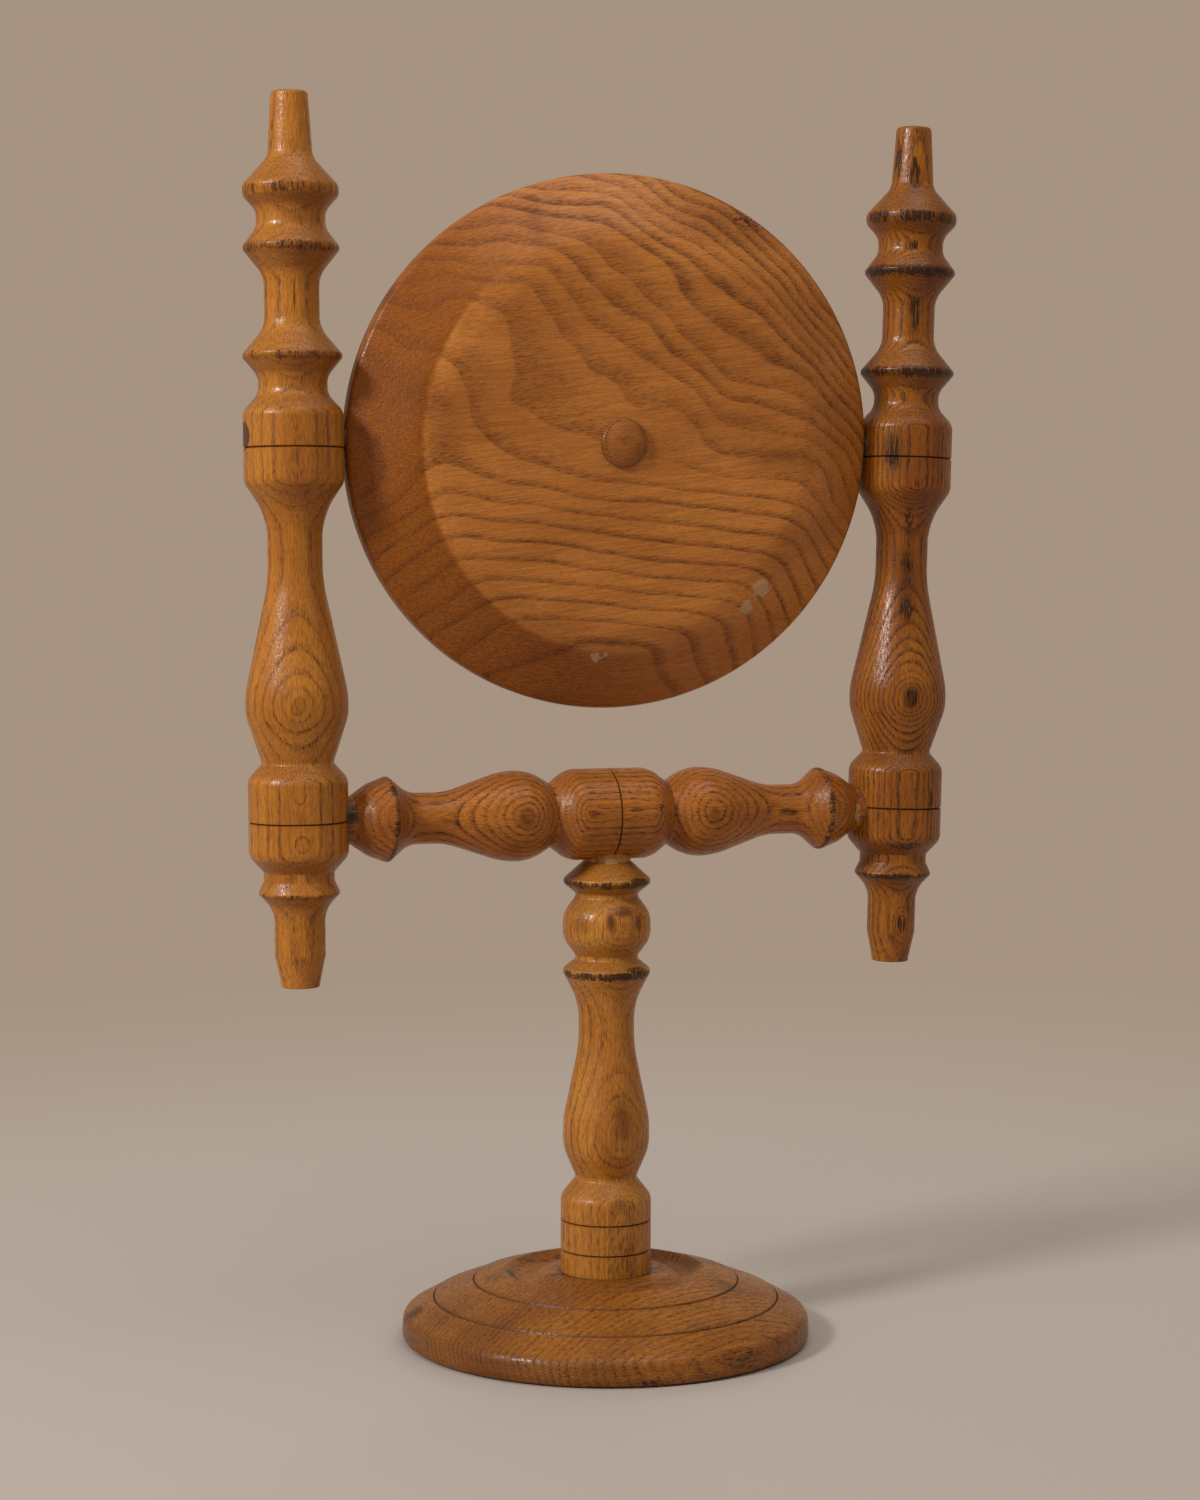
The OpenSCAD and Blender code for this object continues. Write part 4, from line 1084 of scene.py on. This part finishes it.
# %% Disc with its bead and button: a wide board, with painted shade on its slope
# The soak colour and its share also paint the shade on the disc's slope.
board = dict(
    pith=(0, -190, 390), grain=DISC_GRAIN, bark=(0, 1, 0), board=True, light="#c27a37",
    mid="#ae692c", dark="#683305", deep="#4a2508", line=0.62, pore=0.68, soaked=0.9,
    soak="#8c4a08", scorch=0.75)
wood_of[turned_bead] = board
wood_of[turned_disc] = dict(
    **board,
    tinted=[((34, 20, 424), (6, 14, 22), 0.5), ((-66, 19, 333), (26, 8, 8), 0.4),
            ((86, 9, 270), (22, 14, 26), 0.5), ((-45, 14, 420), (34, 16, 12), 0.35)],
    stains=[((35, 20, 430), (4, 14, 16), 0.8), ((-55, 12, 424), (20, 16, 8), 0.9),
            ((86, 9, 276), (13, 12, 8), 0.9), ((76, 9, 258), (13, 12, 8), 0.9),
            ((-60, 19, 334), (24, 6, 8), 0.5)],
    worn=[((-57.6, 15.7, 284.7), (8, 8, 7), 0.85), ((-51.7, 15.4, 277), (6, 8, 7), 0.85),
          ((8, 14.4, 258.6), (8, 8, 7), 0.75), ((24, 14, 249.4), (11, 8, 6), 0.75)])
wood_of[turned_button] = dict(
    pith=(0, -60, 340), grain=DISC_GRAIN, bark=(0, 1, 0), outside=90, width=2.4, light="#a4622a",
    mid="#8e521f", dark="#5a3014", line=0.35)

# %% Every turned piece gets its wood
for piece, figure in wood_of.items():
    piece.data.materials.clear()
    piece.data.materials.append(turned_wood(piece.name + "_lacquered_oak", **figure))
    print(piece.name, "is of", piece.data.materials[0].name)

# %% [markdown]
# ## Small parts
#
# Screws, washers, card, felt and glass keep the shapes of the fixed parts and get their finish. On
# the real object they are bought parts with plain even surfaces. One flat colour would still look
# false, so each gets a fine mottling of its own size in colour, gloss and relief.

# %% Finishes of the small parts
GLOSS_SWING = 0.08


def plain_finish(name, hex_colour, hex_other, cell_mm, metallic, roughness, relief_mm):
    """A finish with fine mottling of a real size in its colour, gloss and surface."""
    material, tree, shader = new_material(name)
    place = add(tree, "TexCoord").outputs["Object"]
    mottle = add(tree, "TexNoise", {"Vector": place, "Scale": 1 / (cell_mm * MM), "Detail": 4})
    colour = covered(tree, linear(hex_colour), [(mottle, 1, hex_other)])
    gloss = span(0, 1, roughness - GLOSS_SWING, roughness + GLOSS_SWING)
    rough = add(tree, "MapRange", {"Value": mottle, **gloss})
    bump = add(tree, "Bump", {"Height": mottle, "Strength": 0.5, "Distance": relief_mm * MM})
    fill(tree, shader, {"Base Color": colour, "Metallic": metallic, "Roughness": rough, "Normal": bump})
    return material


finishes = {
    # Zinc plating is a cool grey with a soft, slightly cloudy gloss.
    "steel": plain_finish("zinc_plated_steel", "#9b9ea1", "#84878b", 1.2, 1, 0.35, 0.02),
    # Stamped brass dulls to a warm, brownish yellow.
    "brass": plain_finish("plain_brass", "#b08d4a", "#9a7838", 1.5, 1, 0.35, 0.02),
    # Punched sole leather is dark and dry, with a pebbled surface.
    "leather": plain_finish("sole_leather", "#4a2d1a", "#382010", 0.8, 0, 0.6, 0.05),
    # Pressed card is matt and flecked with fibres.
    "card": plain_finish("grey_card", "#8a7a63", "#75664f", 1.0, 0, 0.85, 0.03),
    # Baize is a felted cloth whose fibres are too fine to show, so it is drawn as 0.6 mm tufts.
    "felt": plain_finish("green_baize", "#2c4a33", "#20382a", 0.6, 0, 0.9, 0.15),
    # Old silvered glass is almost flat, with a faint haze.
    "mirror": plain_finish("silvered_glass", "#e6eaec", "#e2e7e9", 20, 1, 0.09, 0.001),
    # A pellet shows end grain, which lacquer darkens most of all.
    "turned_wood_dark": plain_finish("end_grain_pellet", "#5c3416", "#43240f", 0.7, 0, 0.45, 0.05)}
for node, object_ in nodes.items():
    if not object_.hide_render:
        object_.data.materials.clear()
        object_.data.materials.append(finishes[slots[node]])
        print(node, "is of", finishes[slots[node]].name)

# %% [markdown]
# ## Floor, light and camera
#
# The floor is a plain pale sweep. Far from the mirror it takes the backdrop's own colour, so no
# horizon shows. A curved sheet would do the same, but a disc looks alike from every side. The key
# light is a soft box up on the left, and the pale surroundings fill in.

# %% Floor
BACKDROP = "#a69381"
FLOOR = "#ada298"
FLOOR_R = 8
CLOTH_NEAR, CLOTH_FAR = 0.2, 1.1
bm = bmesh.new()
bmesh.ops.create_circle(bm, cap_ends=True, segments=96, radius=FLOOR_R)
floor_mesh = bpy.data.meshes.new("floor")
bm.to_mesh(floor_mesh)
bm.free()
floor = in_scene("floor", floor_mesh)

material, tree, shader = new_material("floor_cloth")
fill(tree, shader, {"Base Color": linear(FLOOR), "Roughness": 0.9})
place = add(tree, "TexCoord").outputs["Object"]
away = add(tree, "VectorMath", [place], "LENGTH").outputs["Value"]
share = add(tree, "MapRange", {"Value": away, **span(CLOTH_NEAR, CLOTH_FAR)}, **SMOOTH)
glow = add(tree, "Emission", {"Color": linear(BACKDROP), "Strength": 1})
blend = add(tree, "MixShader", [share, shader, glow])
fill(tree, tree.nodes["Material Output"], {"Surface": blend})
floor.data.materials.append(material)
print("floor radius in metres:", FLOOR_R)

# %% Surroundings: the camera sees the backdrop, and the object is lit by a warm white
world = bpy.data.worlds.new("surroundings")
bpy.context.scene.world = world
world.use_nodes = True
tree = world.node_tree
light = tree.nodes["Background"]
fill(tree, light, {"Color": linear("#fff6ec"), "Strength": 0.4})
seen = add(tree, "Background", {"Color": linear(BACKDROP), "Strength": 1})
rays = add(tree, "LightPath").outputs
direct = add(tree, "Math", [rays["Is Camera Ray"], rays["Is Glossy Ray"]], "MAXIMUM")
direct = add(tree, "Math", [direct, rays["Is Transmission Ray"]], "MAXIMUM")
blend = add(tree, "MixShader", [direct, light, seen])
fill(tree, tree.nodes["World Output"], {"Surface": blend})
print("strength of the surroundings:", light.inputs["Strength"].default_value)


# %% Lights
def soft_box(name, place, aim, size, power):
    lamp = bpy.data.lights.new(name, "AREA")
    lamp.size = size
    lamp.energy = power
    box = in_scene(name, lamp)
    box.location = place
    box.rotation_euler = (Vector(aim) - Vector(place)).to_track_quat("-Z", "Y").to_euler()
    print(name, "lamp of", power, "W at", place)
    return box


soft_box("key", (1.60, 0.55, 1.15), (0, 0, 0.25), 0.3, 25)
behind = soft_box("behind", (-0.9, -1.5, 0.9), (0, 0, 0.25), 1.2, 12)
behind.visible_glossy = False
soft_box("overhead", (-0.1, 0.5, 1.9), (0, 0, 0.2), 1.4, 10)

# %% Camera, placed and turned so that the turned outlines fit the photograph's
camera = in_scene("camera", bpy.data.cameras.new("camera"))
camera.location = (0.38689, 1.06417, 0.29103)
camera.data.lens = 72
camera.data.sensor_width = 36
forward = Vector((-0.33881, -0.93900, -0.05902)).normalized()
roll = 0.0030077
right = forward.cross(Vector((0, 0, 1))).normalized()
up = right.cross(forward)
axes = (right * math.cos(roll) + up * math.sin(roll), up * math.cos(roll) - right * math.sin(roll), -forward)
camera.rotation_euler = Matrix(axes).transposed().to_euler()
bpy.context.scene.camera = camera
bpy.context.scene.view_settings.view_transform = "Standard"
print("camera at", [round(x, 3) for x in camera.location], "with a lens of", camera.data.lens, "mm")
